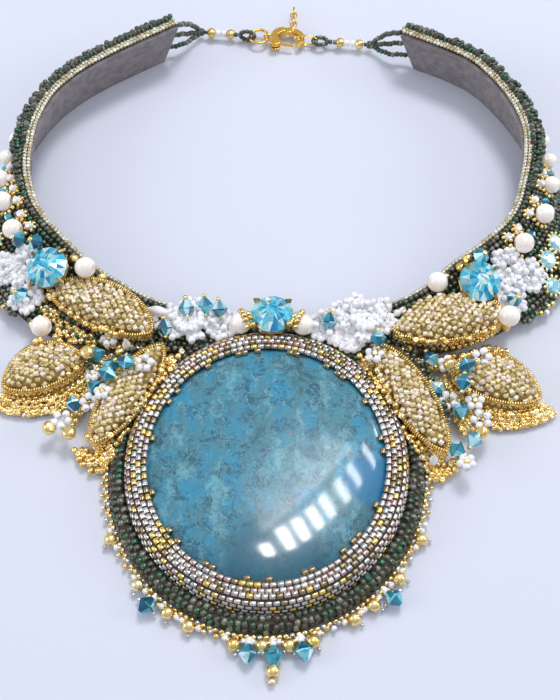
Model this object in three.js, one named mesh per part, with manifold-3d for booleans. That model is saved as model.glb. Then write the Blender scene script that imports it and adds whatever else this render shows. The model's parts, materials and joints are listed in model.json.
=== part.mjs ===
// Bib necklace lying on a surface: a large oval stone in a beaded bezel, two wings of beaded leaves,
// and a leather lined collar of beadwork whose back stands up, closed with a lobster clasp.
// Millimetres, +Z up, +Y towards the back of the neck, origin under the middle of the pendant.
import * as THREE from 'three';
import { mergeVertices } from 'three/addons/utils/BufferGeometryUtils.js';
import Module from 'manifold-3d';

const wasm = await Module();
wasm.setup();

// Shared clearances and sheet thicknesses
const GAP = 0.3;
const LEATHER = 1.0;
const GROUND = 1.9;

// Pendant
const STONE_WIDTH = 55.6;
const STONE_LENGTH = 60.2;
const STONE_SIDE = 2.6;
const STONE_DOME = 5.4;
const BEZEL_WALL = 4.4;
const BEZEL_HEIGHT = 5.8;
const BEZEL_LIP = 1.0;
const BORDER_WIDTH = 2.4;
const BORDER_HEIGHT = 2.3;
const EDGING_WIRE = 1.1;
const FRINGE_BALL = 3.0;
const BICONE = 4.0;
const SEED = 1.5;

// Collar
const NECK_HALF_WIDTH = 64;
const NECK_DEPTH = 89.5;
const BAND_WIDTH = 20;
const NECK_SETBACK = 1.6;
const END_SLANT = 4.0;

// Wings
const WING_SPAN = 36;
const WING_ANGLE = 45;
const LEAF_WIDTH = 14;
const LEAF_DOME = 2.3;
const LEAF_RIM = 6.6;
const LEAF_FOOT = 0.7;
const PURL_WIRE = 1.1;

// Stones and pearls
const RIVOLI_WIDTH = 10.2;
const RIVOLI_CROWN = 2.0;
const RIVOLI_PAVILION = 2.6;
const RIVOLI_TABLE = 2.2;
const SETTING_WALL = 0.7;
const PRONG = 0.9;
const PEARL = 5.0;
const OPAL_WIDTH = 4.8;
const BLOSSOM = 6.0;
const BLOSSOM_HEIGHT = 1.6;
const DROP_LENGTH = 9.0;
const DROP_WIDTH = 3.8;
const THREAD = 1.1;
const SPRAY_RISE = 4.2;

// Closure
const CLASP_LENGTH = 9.8;
const CLASP_WIDTH = 7.8;
const CLASP_THICKNESS = 2.4;
const HOOK_THICKNESS = 1.5;
const CLASP_WALL = 1.65;
const CLASP_EYE = 3.0;
const CLASP_EYE_WIRE = 0.7;
const LEVER_THICKNESS = 0.9;
const LEVER_WIDTH = 1.1;
const LEVER_HUB = 2.5;
const HOUSING_ARC = [110, 215];
const HOOK_ARC = [-52, 130];
const PIVOT_PIN = 0.9;
const PIVOT_PLAY = 0.25;
const RING_WIRE = 0.8;
const RING_WIDTH = 6.2;
const LINK_WIRE = 0.6;
const LINK_LENGTH = 6.6;
const LINK_HEIGHT = 4.0;
const CHAIN_WIRE = 0.55;
const CHAIN_RING = 4.4;
const CHAIN_LINK = 3.3;
const CHAIN_LINK_WIDTH = 2.3;
const CHAIN_LINKS = 4;
const CLASP_BEAD = 3.0;
const STRAND = 1.3;
const LOOP_LENGTH = 5.4;
const LOOP_HEIGHT = 4.2;
const CLOSURE_SPAN = 48.5;
const CLOSURE_SETBACK = 7.4;
const CLOSURE_TURN = -4.5;
const CLASP_RISE = 2.2;

// Sizes that follow from the ones above
const deckZ = LEATHER + GAP;
const stoneRadius = STONE_WIDTH / 2;
const oval = STONE_LENGTH / STONE_WIDTH;
const bezelInner = stoneRadius + GAP;
const bezelOuter = stoneRadius + BEZEL_WALL;
const borderInner = bezelOuter + GAP;
const borderOuter = borderInner + BORDER_WIDTH;
const neckFront = borderOuter * oval + NECK_SETBACK;
const wingRoot = {
  out: borderOuter * Math.sin(THREE.MathUtils.degToRad(WING_ANGLE)),
  up: borderOuter * oval * Math.cos(THREE.MathUtils.degToRad(WING_ANGLE)),
};
const UP = new THREE.Vector3(0, 0, 1);
const model = new THREE.Group();

// Materials, one for each finish
const finish = (color, roughness, metalness) => () =>
  new THREE.MeshStandardMaterial({ color, roughness, metalness });
const stoneBlue = finish(0x3f8aa3, 0.08, 0.0);
const mixedMetal = finish(0xb6a98c, 0.3, 0.7);
const darkGreen = finish(0x3b4436, 0.55, 0.3);
const greyLeather = finish(0x6f686c, 0.85, 0.0);
const champagne = finish(0xc9b183, 0.35, 0.5);
const goldWire = finish(0xc9a032, 0.28, 0.9);
const goldBead = finish(0xd9a83a, 0.22, 0.95);
const aqua = finish(0x37b4d6, 0.05, 0.0);
const pearlWhite = finish(0xf0ebe6, 0.25, 0.0);
const chalkWhite = finish(0xf2f2f4, 0.5, 0.0);
const opalBlue = finish(0x9fd0e2, 0.08, 0.0);

// Turns any geometry into an indexed closed one with position only, faces outwards
function closed(geometry) {
  const bare = geometry.clone();
  bare.deleteAttribute('normal');
  bare.deleteAttribute('uv');
  const merged = mergeVertices(bare, 1e-4);
  const source = merged.index.array;
  const p = merged.attributes.position;
  const kept = [];
  let volume = 0;
  const [a, b, c] = [new THREE.Vector3(), new THREE.Vector3(), new THREE.Vector3()];
  for (let i = 0; i < source.length; i += 3) {
    const [i0, i1, i2] = [source[i], source[i + 1], source[i + 2]];
    if (i0 === i1 || i1 === i2 || i2 === i0) continue;
    kept.push(i0, i1, i2);
    a.fromBufferAttribute(p, i0);
    b.fromBufferAttribute(p, i1);
    c.fromBufferAttribute(p, i2);
    volume += a.dot(b.cross(c));
  }
  if (volume < 0) {
    for (let i = 0; i < kept.length; i += 3) {
      [kept[i + 1], kept[i + 2]] = [kept[i + 2], kept[i + 1]];
    }
  }
  merged.setIndex(kept);
  return merged;
}

// Geometry to solid and back
function solidOf(geometry) {
  const g = closed(geometry);
  return new wasm.Manifold(new wasm.Mesh({
    numProp: 3,
    vertProperties: new Float32Array(g.attributes.position.array),
    triVerts: new Uint32Array(g.index.array),
  }));
}

const FLATNESS = 0.04;
function geometryOf(solid) {
  const { vertProperties, triVerts } = solid.simplify(FLATNESS).getMesh();
  const g = new THREE.BufferGeometry();
  g.setAttribute('position', new THREE.BufferAttribute(new Float32Array(vertProperties), 3));
  g.setIndex(Array.from(triVerts));
  g.computeVertexNormals();
  return g;
}

const fuse = (geometries) => geometryOf(geometries.map(solidOf).reduce((all, one) => all.add(one)));

// Adds a named mesh to the model
function add(name, geometry, material, parent = model) {
  const mesh = new THREE.Mesh(geometry, material());
  mesh.name = name;
  parent.add(mesh);
  mesh.updateWorldMatrix(true, false);
  return mesh;
}

// Lathe about +Z, stretched along Y by a factor
function turned(profile, segments, stretch = 1) {
  const g = new THREE.LatheGeometry(profile.map(([r, z]) => new THREE.Vector2(r, z)), segments);
  g.rotateX(Math.PI / 2);
  g.scale(1, stretch, 1);
  return closed(g);
}

// A sphere, ring or box whose unit coordinates are moved through a function of its own
function reshaped(geometry, move) {
  const g = closed(geometry);
  const p = g.attributes.position;
  const v = new THREE.Vector3();
  for (let i = 0; i < p.count; i += 1) {
    v.fromBufferAttribute(p, i);
    const to = move(v);
    p.setXYZ(i, to.x, to.y, to.z);
  }
  return closed(g);
}

// Round bar along a curve
function bar(curve, diameter, steps, sides = 6) {
  const section = new THREE.Shape();
  for (let i = 0; i < sides; i += 1) {
    const angle = (2 * Math.PI * i) / sides;
    const x = (Math.cos(angle) * diameter) / 2;
    const y = (Math.sin(angle) * diameter) / 2;
    if (i === 0) section.moveTo(x, y);
    else section.lineTo(x, y);
  }
  section.closePath();
  return new THREE.ExtrudeGeometry(section, { steps, extrudePath: curve, bevelEnabled: false });
}

const spline = (points) => new THREE.CatmullRomCurve3(points, false, 'centripetal');

// Places geometry made about +Z at a point, with its axis along a direction
function stand(geometry, at, axis) {
  geometry.applyQuaternion(new THREE.Quaternion().setFromUnitVectors(UP, axis.clone().normalize()));
  return geometry.translate(at.x, at.y, at.z);
}

// Beads
const ball = (diameter, at) => new THREE.SphereGeometry(diameter / 2, 10, 4).translate(at.x, at.y, at.z);

function bicone(size, at, axis = UP) {
  const tip = size * 0.14;
  const g = turned([[0, -size / 2], [tip, -size / 2], [size / 2, 0], [tip, size / 2], [0, size / 2]], 6);
  return stand(g, at, axis);
}

// Point by shares of the pendant's outer half width and half length, on a side
const onPendantShare = (side, out, up) => new THREE.Vector3(
  (side === 'left' ? -1 : 1) * out * borderOuter, up * borderOuter * oval, 0);

// Height of the pieces already built under a round footprint
const down = new THREE.Vector3(0, 0, -1);
const ray = new THREE.Raycaster();
const rayHeight = STONE_LENGTH;
const RAYS_ROUND = 8;

function topAt(x, y, reach) {
  let top = 0;
  for (let i = -1; i < RAYS_ROUND; i += 1) {
    const r = i < 0 ? 0 : reach;
    const angle = (2 * Math.PI * i) / RAYS_ROUND;
    const from = new THREE.Vector3(x + r * Math.cos(angle), y + r * Math.sin(angle), rayHeight);
    ray.set(from, down);
    for (const hit of ray.intersectObject(model, true)) top = Math.max(top, hit.point.z);
  }
  return top;
}

const seated = (x, y, radius) => new THREE.Vector3(x, y, topAt(x, y, radius) + radius + 1.3 * GAP);

// How far a geometry can sink before a vertex of it comes within the clearance of what is built
function sinkOf(geometry) {
  const p = closed(geometry).attributes.position;
  let least = rayHeight;
  for (let i = 0; i < p.count; i += 1) {
    const from = new THREE.Vector3().fromBufferAttribute(p, i);
    ray.set(from, down);
    const hits = ray.intersectObject(model, true);
    least = Math.min(least, from.z, hits.length > 0 ? hits[0].distance : from.z);
  }
  return least - 1.5 * GAP;
}

// A strand of beads that follows the relief under it from point to point
function strand(points, diameter) {
  const route = [];
  const flat = spline(points.map(([x, y]) => new THREE.Vector3(x, y, 0)));
  const pieces = Math.max(2, Math.round(flat.getLength() / 1.6));
  for (const p of flat.getSpacedPoints(pieces)) route.push(seated(p.x, p.y, diameter / 2));
  for (let i = 1; i < route.length - 1; i += 1) {
    route[i].z = Math.max(route[i].z, (route[i - 1].z + route[i + 1].z) / 2);
  }
  return bar(spline(route), diameter, route.length - 1, 6);
}

// Pendant: leather disc, stone, bezel ring and border ring
const ROUND = 28;
add('pendant_backing', turned([[0, 0], [borderOuter, 0], [borderOuter, LEATHER], [0, LEATHER]], ROUND, oval),
  greyLeather);

const domeAt = (share) => deckZ + STONE_SIDE + STONE_DOME * Math.sqrt(1 - share * share);
const stoneProfile = [[0, deckZ], [stoneRadius, deckZ], [stoneRadius, deckZ + STONE_SIDE]];
for (const share of [0.97, 0.82, 0.5]) stoneProfile.push([stoneRadius * share, domeAt(share)]);
stoneProfile.push([0, domeAt(0)]);
add('cabochon', turned(stoneProfile, ROUND, oval), stoneBlue);

const lipRadius = stoneRadius - BEZEL_LIP;
const lipZ = domeAt(lipRadius / stoneRadius) + 2 * GAP;
const bezelProfile = [
  [bezelInner, deckZ], [bezelOuter, deckZ],
  [bezelOuter - 0.22 * BEZEL_WALL, deckZ + 0.72 * BEZEL_HEIGHT],
  [bezelOuter - 0.62 * BEZEL_WALL, deckZ + 0.97 * BEZEL_HEIGHT],
  [lipRadius + 0.2, deckZ + BEZEL_HEIGHT], [lipRadius, lipZ], [bezelInner, deckZ + STONE_SIDE + 3 * GAP],
  [bezelInner, deckZ],
];
add('beaded_bezel', turned(bezelProfile, ROUND, oval), mixedMetal);

const borderProfile = [
  [borderInner, deckZ], [borderOuter, deckZ], [borderOuter, deckZ + 0.6 * BORDER_HEIGHT],
  [borderInner + 0.6 * BORDER_WIDTH, deckZ + BORDER_HEIGHT], [borderInner, deckZ + BORDER_HEIGHT],
  [borderInner, deckZ],
];
add('pendant_border', turned(borderProfile, ROUND, oval), darkGreen);

// Clearance body of the whole pendant, cut from what lies against it
const pendantClear = solidOf(turned([
  [0, -1], [borderOuter + GAP, -1], [borderOuter + GAP, deckZ + 0.6 * BORDER_HEIGHT],
  [borderInner + 0.6 * BORDER_WIDTH + GAP, deckZ + BORDER_HEIGHT + GAP],
  [bezelOuter + GAP, deckZ + BORDER_HEIGHT + GAP],
  [bezelOuter + 0.1 - 0.22 * BEZEL_WALL + GAP, deckZ + 0.72 * BEZEL_HEIGHT + GAP],
  [bezelOuter - 0.62 * BEZEL_WALL + GAP, deckZ + 0.97 * BEZEL_HEIGHT + GAP],
  [lipRadius, deckZ + BEZEL_HEIGHT + GAP], [0, deckZ + STONE_SIDE + STONE_DOME + GAP],
], ROUND, oval));

// Fringe along the lower edge: a row of edging beads that carries gold balls, bicones and the drop
// Place is a share of the edging's half arc, from the lowest point to the right
const FRINGE = [
  [-0.861, 'ball'], [-0.625, 'ball'], [-0.528, 'bicone'], [-0.424, 'ball'], [-0.312, 'ball'],
  [-0.132, 'ball'], [-0.050, 'bicone'], [0.010, 'ball'], [0.064, 'drop'], [0.119, 'ball'],
  [0.183, 'bicone'], [0.247, 'ball'], [0.425, 'ball'], [0.528, 'ball'], [0.618, 'bicone'],
  [0.708, 'ball'], [0.903, 'ball'],
];
const EDGING_HALF_ARC = 72;
const RAIL_POINTS = 12;
const edgingRadius = borderOuter + GAP + EDGING_WIRE / 2;

function onEdge(degrees, reach, z) {
  const angle = THREE.MathUtils.degToRad(degrees);
  const out = new THREE.Vector3(Math.sin(angle), -Math.cos(angle) / oval, 0).normalize();
  const at = new THREE.Vector3(edgingRadius * Math.sin(angle), -edgingRadius * oval * Math.cos(angle), z);
  return at.addScaledVector(out, reach);
}

function fringe() {
  const z = deckZ + EDGING_WIRE / 2;
  const rail = [];
  for (let i = -RAIL_POINTS; i <= RAIL_POINTS; i += 1) {
    rail.push(onEdge((i / RAIL_POINTS) * EDGING_HALF_ARC, 0, z));
  }
  const pieces = [bar(spline(rail), EDGING_WIRE, 16, 4)];
  for (const [share, bead] of FRINGE) {
    const angle = share * EDGING_HALF_ARC;
    const hang = (reach) => onEdge(angle, reach, Math.max(z, FRINGE_BALL / 2 + 0.1));
    const out = onEdge(angle, 1, 0).sub(onEdge(angle, 0, 0));
    const ballReach = EDGING_WIRE / 2 + FRINGE_BALL * 0.42;
    if (bead === 'ball') {
      pieces.push(ball(FRINGE_BALL, hang(ballReach)));
    } else {
      const first = ballReach + 1.0;
      pieces.push(bar(new THREE.LineCurve3(onEdge(angle, 0, z), hang(first)), SEED * 0.8, 1, 6));
      const reachZ = BICONE / 2 + 0.1;
      pieces.push(bicone(BICONE, onEdge(angle, first + 0.6, reachZ), out));
      if (bead === 'drop') {
        const below = first + 0.6 + BICONE / 2 + FRINGE_BALL * 0.42;
        pieces.push(ball(FRINGE_BALL, onEdge(angle, below, FRINGE_BALL / 2 + 0.1)));
        pieces.push(bar(new THREE.LineCurve3(
          onEdge(angle, below + 1, FRINGE_BALL / 2), onEdge(angle, below + 3.6, SEED * 0.7)), SEED, 1, 6));
      }
    }
  }
  return fuse(pieces);
}
add('pendant_fringe', fringe(), goldBead);

// Collar rows along the neck edge, from the front middle to each back end
// x and y are shares of the neck's half width and depth, width is a share of the band, slope in degrees
const ROWS = [
  { left: [0.10, 0.000], right: [0.10, 0.000], width: 0.40, slope: 3 },
  { left: [0.30, 0.008], right: [0.30, 0.012], width: 0.55, slope: 4 },
  { left: [0.46, 0.036], right: [0.46, 0.044], width: 0.70, slope: 7 },
  { left: [0.59, 0.078], right: [0.58, 0.090], width: 0.86, slope: 12 },
  { left: [0.70, 0.120], right: [0.68, 0.148], width: 1.00, slope: 18 },
  { left: [0.81, 0.188], right: [0.82, 0.222], width: 1.02, slope: 25 },
  { left: [0.92, 0.278], right: [0.915, 0.302], width: 0.93, slope: 34 },
  { left: [0.975, 0.386], right: [0.965, 0.426], width: 0.83, slope: 45 },
  { left: [0.985, 0.490], right: [0.985, 0.531], width: 0.73, slope: 60 },
  { left: [0.975, 0.596], right: [0.98, 0.620], width: 0.67, slope: 71 },
  { left: [0.93, 0.702], right: [0.94, 0.715], width: 0.65, slope: 76 },
  { left: [0.84, 0.790], right: [0.87, 0.805], width: 0.65, slope: 77 },
  { left: [0.71, 0.872], right: [0.765, 0.888], width: 0.65, slope: 77 },
  { left: [0.46, 1.000], right: [0.51, 0.985], width: 0.65, slope: 77 },
];
const SIDES = { left: -1, right: 1 };

// Neck edge, width and slope of the collar at any row number, whole or between
function collarSpine(side) {
  const points = ROWS.map((row) => new THREE.Vector3(
    SIDES[side] * row[side][0] * NECK_HALF_WIDTH, neckFront + row[side][1] * NECK_DEPTH, 0));
  const curve = new THREE.CatmullRomCurve3(points, false, 'catmullrom', 0.5);
  const last = ROWS.length - 1;
  const mixed = (at, key) => {
    const i = Math.min(last - 1, Math.floor(at));
    return THREE.MathUtils.lerp(ROWS[i][key], ROWS[i + 1][key], at - i);
  };
  return (at) => {
    const along = curve.getTangent(at / last);
    const out = new THREE.Vector3(along.y, -along.x, 0).multiplyScalar(SIDES[side]);
    const slope = THREE.MathUtils.degToRad(mixed(at, 'slope'));
    const width = mixed(at, 'width') * BAND_WIDTH;
    const across = out.clone().multiplyScalar(Math.cos(slope)).setZ(-Math.sin(slope));
    const normal = out.clone().multiplyScalar(Math.sin(slope)).setZ(Math.cos(slope));
    const rise = width * Math.sin(slope) + (LEATHER + GAP) * Math.cos(slope);
    const edge = curve.getPoint(at / last).setZ(rise);
    return { edge, across, normal, along, width };
  };
}
const spines = { left: collarSpine('left'), right: collarSpine('right') };
const LAST_ROW = ROWS.length - 1;

// Point of the band: row number, distance from the neck edge as a share, height over the bead face
function onBand(side, row, share, height) {
  const { edge, across, normal, width } = spines[side](row);
  return edge.clone().addScaledVector(across, share * width).addScaledVector(normal, GROUND + height);
}

// Layer of the band between two heights, grown past its edges by a margin
function bandLayer(side, low, high, margin, steps, lanes) {
  return reshaped(new THREE.BoxGeometry(1, 1, 1, steps, lanes, 1), (v) => {
    const row = (v.x + 0.5) * LAST_ROW;
    const { edge, across, normal, along, width } = spines[side](row);
    const reach = (v.y + 0.5) * (width + 2 * margin) - margin;
    const tail = Math.max(0, row - (LAST_ROW - 1));
    const end = (v.x > 0.499 ? margin : 0) - tail * END_SLANT * (v.y + 0.5);
    return edge.clone().addScaledVector(across, reach).addScaledVector(along, end)
      .addScaledVector(normal, v.z > 0 ? high : low);
  });
}

const BAND_STEPS = 24;
const bandClear = {};
for (const side of Object.keys(SIDES)) {
  const lining = solidOf(bandLayer(side, -LEATHER, 0, 0, BAND_STEPS, 2)).subtract(pendantClear);
  add(`lining_${side}`, geometryOf(lining), greyLeather);
  const ground = solidOf(bandLayer(side, GAP, GROUND, 0, BAND_STEPS, 2)).subtract(pendantClear);
  add(`collar_${side}`, geometryOf(ground), darkGreen);
  bandClear[side] = solidOf(bandLayer(side, -LEATHER - GAP, GROUND + GAP, GAP, BAND_STEPS, 2));
}

// Stones in their own frame, girdle at zero
const rivoliRadius = RIVOLI_WIDTH / 2;
const girdle = 0.4;

function rivoliStone() {
  return turned([
    [0, -RIVOLI_PAVILION], [girdle, -RIVOLI_PAVILION], [rivoliRadius, -girdle], [rivoliRadius, 0],
    [RIVOLI_TABLE / 2, RIVOLI_CROWN], [0, RIVOLI_CROWN],
  ], 12);
}

// Cup under the stone with four prongs bent over its edge
const cupFloor = -RIVOLI_PAVILION - GAP - SETTING_WALL;
const PRONGS = 4;
function settingCup() {
  const cup = turned([
    [0, cupFloor], [rivoliRadius * 0.5, cupFloor], [rivoliRadius, -girdle - SETTING_WALL],
    [rivoliRadius - GAP, -girdle - 1.4 * GAP], [girdle, -RIVOLI_PAVILION - GAP],
    [0, -RIVOLI_PAVILION - GAP],
  ], 12);
  const pieces = [cup];
  const outside = rivoliRadius + GAP + PRONG / 2;
  for (let i = 0; i < PRONGS; i += 1) {
    const turn = ((i + 0.5) * 2 * Math.PI) / PRONGS;
    const at = (r, z) => new THREE.Vector3(r * Math.cos(turn), r * Math.sin(turn), z);
    const bend = new THREE.CatmullRomCurve3([
      at(rivoliRadius * 0.9, -1.6 * PRONG), at(outside, -0.7 * PRONG), at(outside, 0.55 * PRONG),
      at(rivoliRadius - 0.6 * PRONG, 1.3 * PRONG)]);
    pieces.push(bar(bend, PRONG, 2, 4));
  }
  return fuse(pieces);
}

// Clearance solid of a stone with its cup
const stoneClear = () => turned([
  [0, cupFloor - GAP], [rivoliRadius * 0.5 + GAP, cupFloor - GAP],
  [rivoliRadius + PRONG + 2 * GAP, -PRONG], [rivoliRadius + PRONG + 2 * GAP, PRONG],
  [rivoliRadius, RIVOLI_CROWN + GAP], [0, RIVOLI_CROWN + GAP],
], 12);

const stoneClears = [];
function setStone(place, at, axis) {
  const hold = new THREE.Group();
  hold.position.copy(at);
  hold.quaternion.setFromUnitVectors(UP, axis);
  model.add(hold);
  add(`rivoli_${place}`, rivoliStone(), aqua, hold);
  add(`setting_${place}`, settingCup(), goldBead, hold);
  stoneClears.push(solidOf(stand(stoneClear(), at, axis)));
}

// The centre stone leans on the crest of the bezel, the side stones stand on the band
const crest = bezelOuter - 0.62 * BEZEL_WALL;
const centerRise = deckZ + BEZEL_HEIGHT - cupFloor;
const centerAt = new THREE.Vector3(0, crest * oval + rivoliRadius * 0.9, centerRise);
centerAt.z -= sinkOf(stand(settingCup(), centerAt, UP));
setStone('center', centerAt, UP);
const SIDE_STONES = { left: { row: 4.5, share: 0.34 }, right: { row: 4.05, share: 0.36 } };
for (const [side, { row, share }] of Object.entries(SIDE_STONES)) {
  setStone(side, onBand(side, row, share, 2.4 * GAP - cupFloor), spines[side](row).normal);
}

// Leaves: root and tip as shares of the wing's span from the wing root, half widths as shares of the
// leaf width, lift of the rim at root and tip over the leaf rim height, roll in degrees, skirt reach
const LEAVES = [
  { name: 'upper_left', root: [0.08, 0.13], tip: [0.82, 0.455], neck: 0.54, outer: 0.35,
    lift: [1.0, 1.6], roll: 12, skirt: 1.2 },
  { name: 'outer_left', root: [0.50, -0.07], tip: [1.025, -0.27], neck: 0.60, outer: 0.30,
    lift: [0.0, -1.6], roll: 4, skirt: 3.4 },
  { name: 'lower_left', root: [0.01, 0.04], tip: [0.41, -0.66], neck: 0.38, outer: 0.36,
    lift: [1.4, -1.4], roll: 10, skirt: 2.0 },
  { name: 'upper_right', root: [0.09, 0.20], tip: [0.86, 0.34], neck: 0.58, outer: 0.38,
    lift: [1.0, 1.6], roll: 12, skirt: 1.2 },
  { name: 'outer_right', root: [0.467, -0.09], tip: [1.044, -0.253], neck: 0.60, outer: 0.32,
    lift: [0.0, -1.6], roll: 4, skirt: 3.4 },
  { name: 'lower_right', root: [0.006, 0.08], tip: [0.428, -0.656], neck: 0.36, outer: 0.36,
    lift: [1.4, -1.4], roll: 10, skirt: 2.0 },
];

// The leaf's own frame: along from root to tip, side towards the neck, and its normal
function leafFrame({ name, root, tip, neck, outer, lift, roll }) {
  const sign = name.endsWith('left') ? -1 : 1;
  const place = ([out, up], extra) => new THREE.Vector3(
    sign * (wingRoot.out + out * WING_SPAN), wingRoot.up + up * WING_SPAN, LEAF_RIM + extra);
  const a = place(root, lift[0]);
  const b = place(tip, lift[1]);
  const along = b.clone().sub(a);
  const half = along.length() / 2;
  along.normalize();
  const level = new THREE.Vector3(-along.y, along.x, 0).normalize().multiplyScalar(sign);
  const flat = new THREE.Vector3().crossVectors(along, level).normalize();
  if (flat.z < 0) flat.negate();
  const tilt = THREE.MathUtils.degToRad(roll);
  const side = level.clone().multiplyScalar(Math.cos(tilt)).addScaledVector(flat, Math.sin(tilt));
  const normal = flat.clone().multiplyScalar(Math.cos(tilt)).addScaledVector(level, -Math.sin(tilt));
  const middle = a.clone().add(b).multiplyScalar(0.5);
  const widths = [neck * LEAF_WIDTH, outer * LEAF_WIDTH];
  const inset = PURL_WIRE + GAP;
  const rim = (angle, grow = 0) => {
    const s = Math.sin(angle);
    const width = s > 0 ? widths[0] : widths[1];
    return {
      u: Math.cos(angle) * (half - inset + grow),
      v: Math.sign(s) * Math.abs(s) ** 1.35 * (width - inset + grow),
    };
  };
  const at = (u, v, w) => middle.clone().addScaledVector(along, u).addScaledVector(side, v)
    .addScaledVector(normal, w);
  return { rim, at };
}

// Rings of the leaf body from the crown to under the foot: reach towards the rim, rise as a share
// of the dome, drop as a share of the way down to the foot, flare as a share of the skirt
const LEAF_RINGS = [
  { reach: 0.00, rise: 1.00, drop: 0, flare: 0 },
  { reach: 0.55, rise: 0.82, drop: 0, flare: 0 },
  { reach: 0.86, rise: 0.40, drop: 0, flare: 0 },
  { reach: 0.96, rise: 0.05, drop: 0, flare: 0 },
  { reach: 0.97, rise: 0.00, drop: 0.45, flare: 0.10 },
  { reach: 1.00, rise: 0.00, drop: 0.85, flare: 0.95 },
  { reach: 0.96, rise: 0.00, drop: 1.00, flare: 0.90 },
  { reach: 0.00, rise: 0.00, drop: 1.00, flare: 0 },
];
const LEAF_SIDES = 14;

function leafBody(leaf, margin = 0) {
  const { rim, at } = leafFrame(leaf);
  return reshaped(new THREE.SphereGeometry(1, LEAF_SIDES, LEAF_RINGS.length - 1), (v) => {
    const ring = LEAF_RINGS[Math.round((Math.acos(THREE.MathUtils.clamp(v.y, -1, 1)) / Math.PI)
      * (LEAF_RINGS.length - 1))];
    const angle = Math.atan2(v.z, v.x);
    const side = Math.sin(angle) < 0 ? 1 : 0.15;
    const { u, v: w } = rim(angle, ring.flare * leaf.skirt * side + margin);
    const top = at(u * ring.reach, w * ring.reach, ring.rise * LEAF_DOME + margin);
    top.z = THREE.MathUtils.lerp(top.z, LEAF_FOOT - margin, ring.drop);
    return top;
  });
}

function purlRing(leaf, margin = 0) {
  const { rim, at } = leafFrame(leaf);
  const wire = PURL_WIRE / 2;
  const grown = 1 + margin / wire;
  return reshaped(new THREE.TorusGeometry(2, 1, 5, 15), (v) => {
    const angle = Math.atan2(v.y, v.x);
    const radial = Math.hypot(v.x, v.y) - 2;
    const { u, v: w } = rim(angle, wire + GAP + radial * wire * grown);
    return at(u, w, 0.1 + v.z * wire * grown);
  });
}

// The wire's two ends meet at the leaf's root, a gap apart
function purlEnds(leaf) {
  const { rim, at } = leafFrame(leaf);
  const { u } = rim(Math.PI, PURL_WIRE / 2 + GAP);
  return reshaped(new THREE.BoxGeometry(3 * PURL_WIRE, GAP, 3 * PURL_WIRE), (v) => at(u + v.x, v.y, v.z));
}

// Largest single body left once the clearances are taken away
function fitted(solid, clearances) {
  const bodies = clearances.reduce((rest, one) => rest.subtract(one), solid).decompose();
  return bodies.reduce((best, one) => (one.volume() > best.volume() ? one : best));
}

const leafOrder = ['upper', 'outer', 'lower'];
const wingClear = { left: [], right: [] };
for (const side of Object.keys(SIDES)) {
  for (const part of leafOrder) {
    const leaf = LEAVES.find((one) => one.name === `${part}_${side}`);
    const clear = [pendantClear, bandClear[side], ...stoneClears, ...wingClear[side]];
    add(`leaf_${part}_${side}`, geometryOf(fitted(solidOf(leafBody(leaf)), clear)), champagne);
    const purl = solidOf(purlRing(leaf)).subtract(solidOf(purlEnds(leaf)));
    add(`purl_${part}_${side}`, geometryOf(fitted(purl, clear)), goldWire);
    wingClear[side].push(solidOf(leafBody(leaf, GAP)).add(solidOf(purlRing(leaf, GAP))));
  }
}

// Pearls along the bands, largest at the front, and pearls beside the stones
const pearlClears = { left: [], right: [] };
function addPearl(name, side, size, place, sinks = true) {
  const at = place.clone();
  if (sinks) at.z -= sinkOf(new THREE.SphereGeometry(size / 2, 24, 14).translate(at.x, at.y, at.z));
  const mesh = add(name, new THREE.SphereGeometry(size / 2, 10, 5), pearlWhite);
  mesh.position.copy(at);
  mesh.updateWorldMatrix(true, false);
  pearlClears[side].push(solidOf(ball(size + 2.4 * GAP, at)));
}
const BAND_PEARLS = {
  left: [[5.8, 0.34], [6.45, 0.32], [7.1, 0.34], [7.8, 0.36], [8.5, 0.38]],
  right: [[5.4, 0.28], [6.2, 0.30], [7.0, 0.36], [7.8, 0.38], [8.6, 0.38]],
};
const PEARL_SHARES = [1, 0.98, 0.86, 0.76, 0.66];
const EDGE_PEARLS = {
  left: { leaf: [3.9, 1.00], neck: [3.76, 0.15] },
  right: { leaf: [3.9, 1.04], neck: [3.14, 0.10] },
};
for (const side of Object.keys(SIDES)) {
  BAND_PEARLS[side].forEach(([row, share], i) => {
    const size = PEARL * PEARL_SHARES[i];
    addPearl(`pearl_${side}_${i + 1}`, side, size, onBand(side, row, share, size / 2 + GAP), false);
  });
  for (const [place, [row, share]] of Object.entries(EDGE_PEARLS[side])) {
    const on = onBand(side, row, share, 0);
    addPearl(`pearl_${place}_${side}`, side, PEARL, seated(on.x, on.y, PEARL / 2));
  }
  const beside = onPendantShare(side, 0.212, 0.915);
  addPearl(`pearl_center_${side}`, side, PEARL, seated(beside.x, beside.y, PEARL / 2));
}

// Beads of the clusters
function blossom(radius, at, axis) {
  const flat = turned([
    [0, 0], [radius, BLOSSOM_HEIGHT * 0.35], [radius * 0.6, BLOSSOM_HEIGHT], [0, BLOSSOM_HEIGHT * 0.7]], 10);
  return stand(reshaped(flat, (v) => {
    const lobe = 0.86 + 0.14 * Math.cos(5 * Math.atan2(v.y, v.x));
    return v.clone().set(v.x * lobe, v.y * lobe, v.z);
  }), at, axis);
}

function dropBead(length, width, at, axis) {
  const g = turned([[0, -0.5], [0.22, -0.46], [0.5, -0.12], [0.4, 0.2], [0.16, 0.5], [0, 0.5]]
    .map(([r, z]) => [r * width, z * length]), 10);
  return stand(g, at, axis);
}

function cutStone(width, at, axis) {
  const g = turned([[0, -0.22], [0.5, -0.02], [0.5, 0.04], [0.3, 0.2], [0, 0.2]]
    .map(([r, z]) => [r * width, z * width]), 8);
  return stand(g, at, axis);
}

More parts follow.
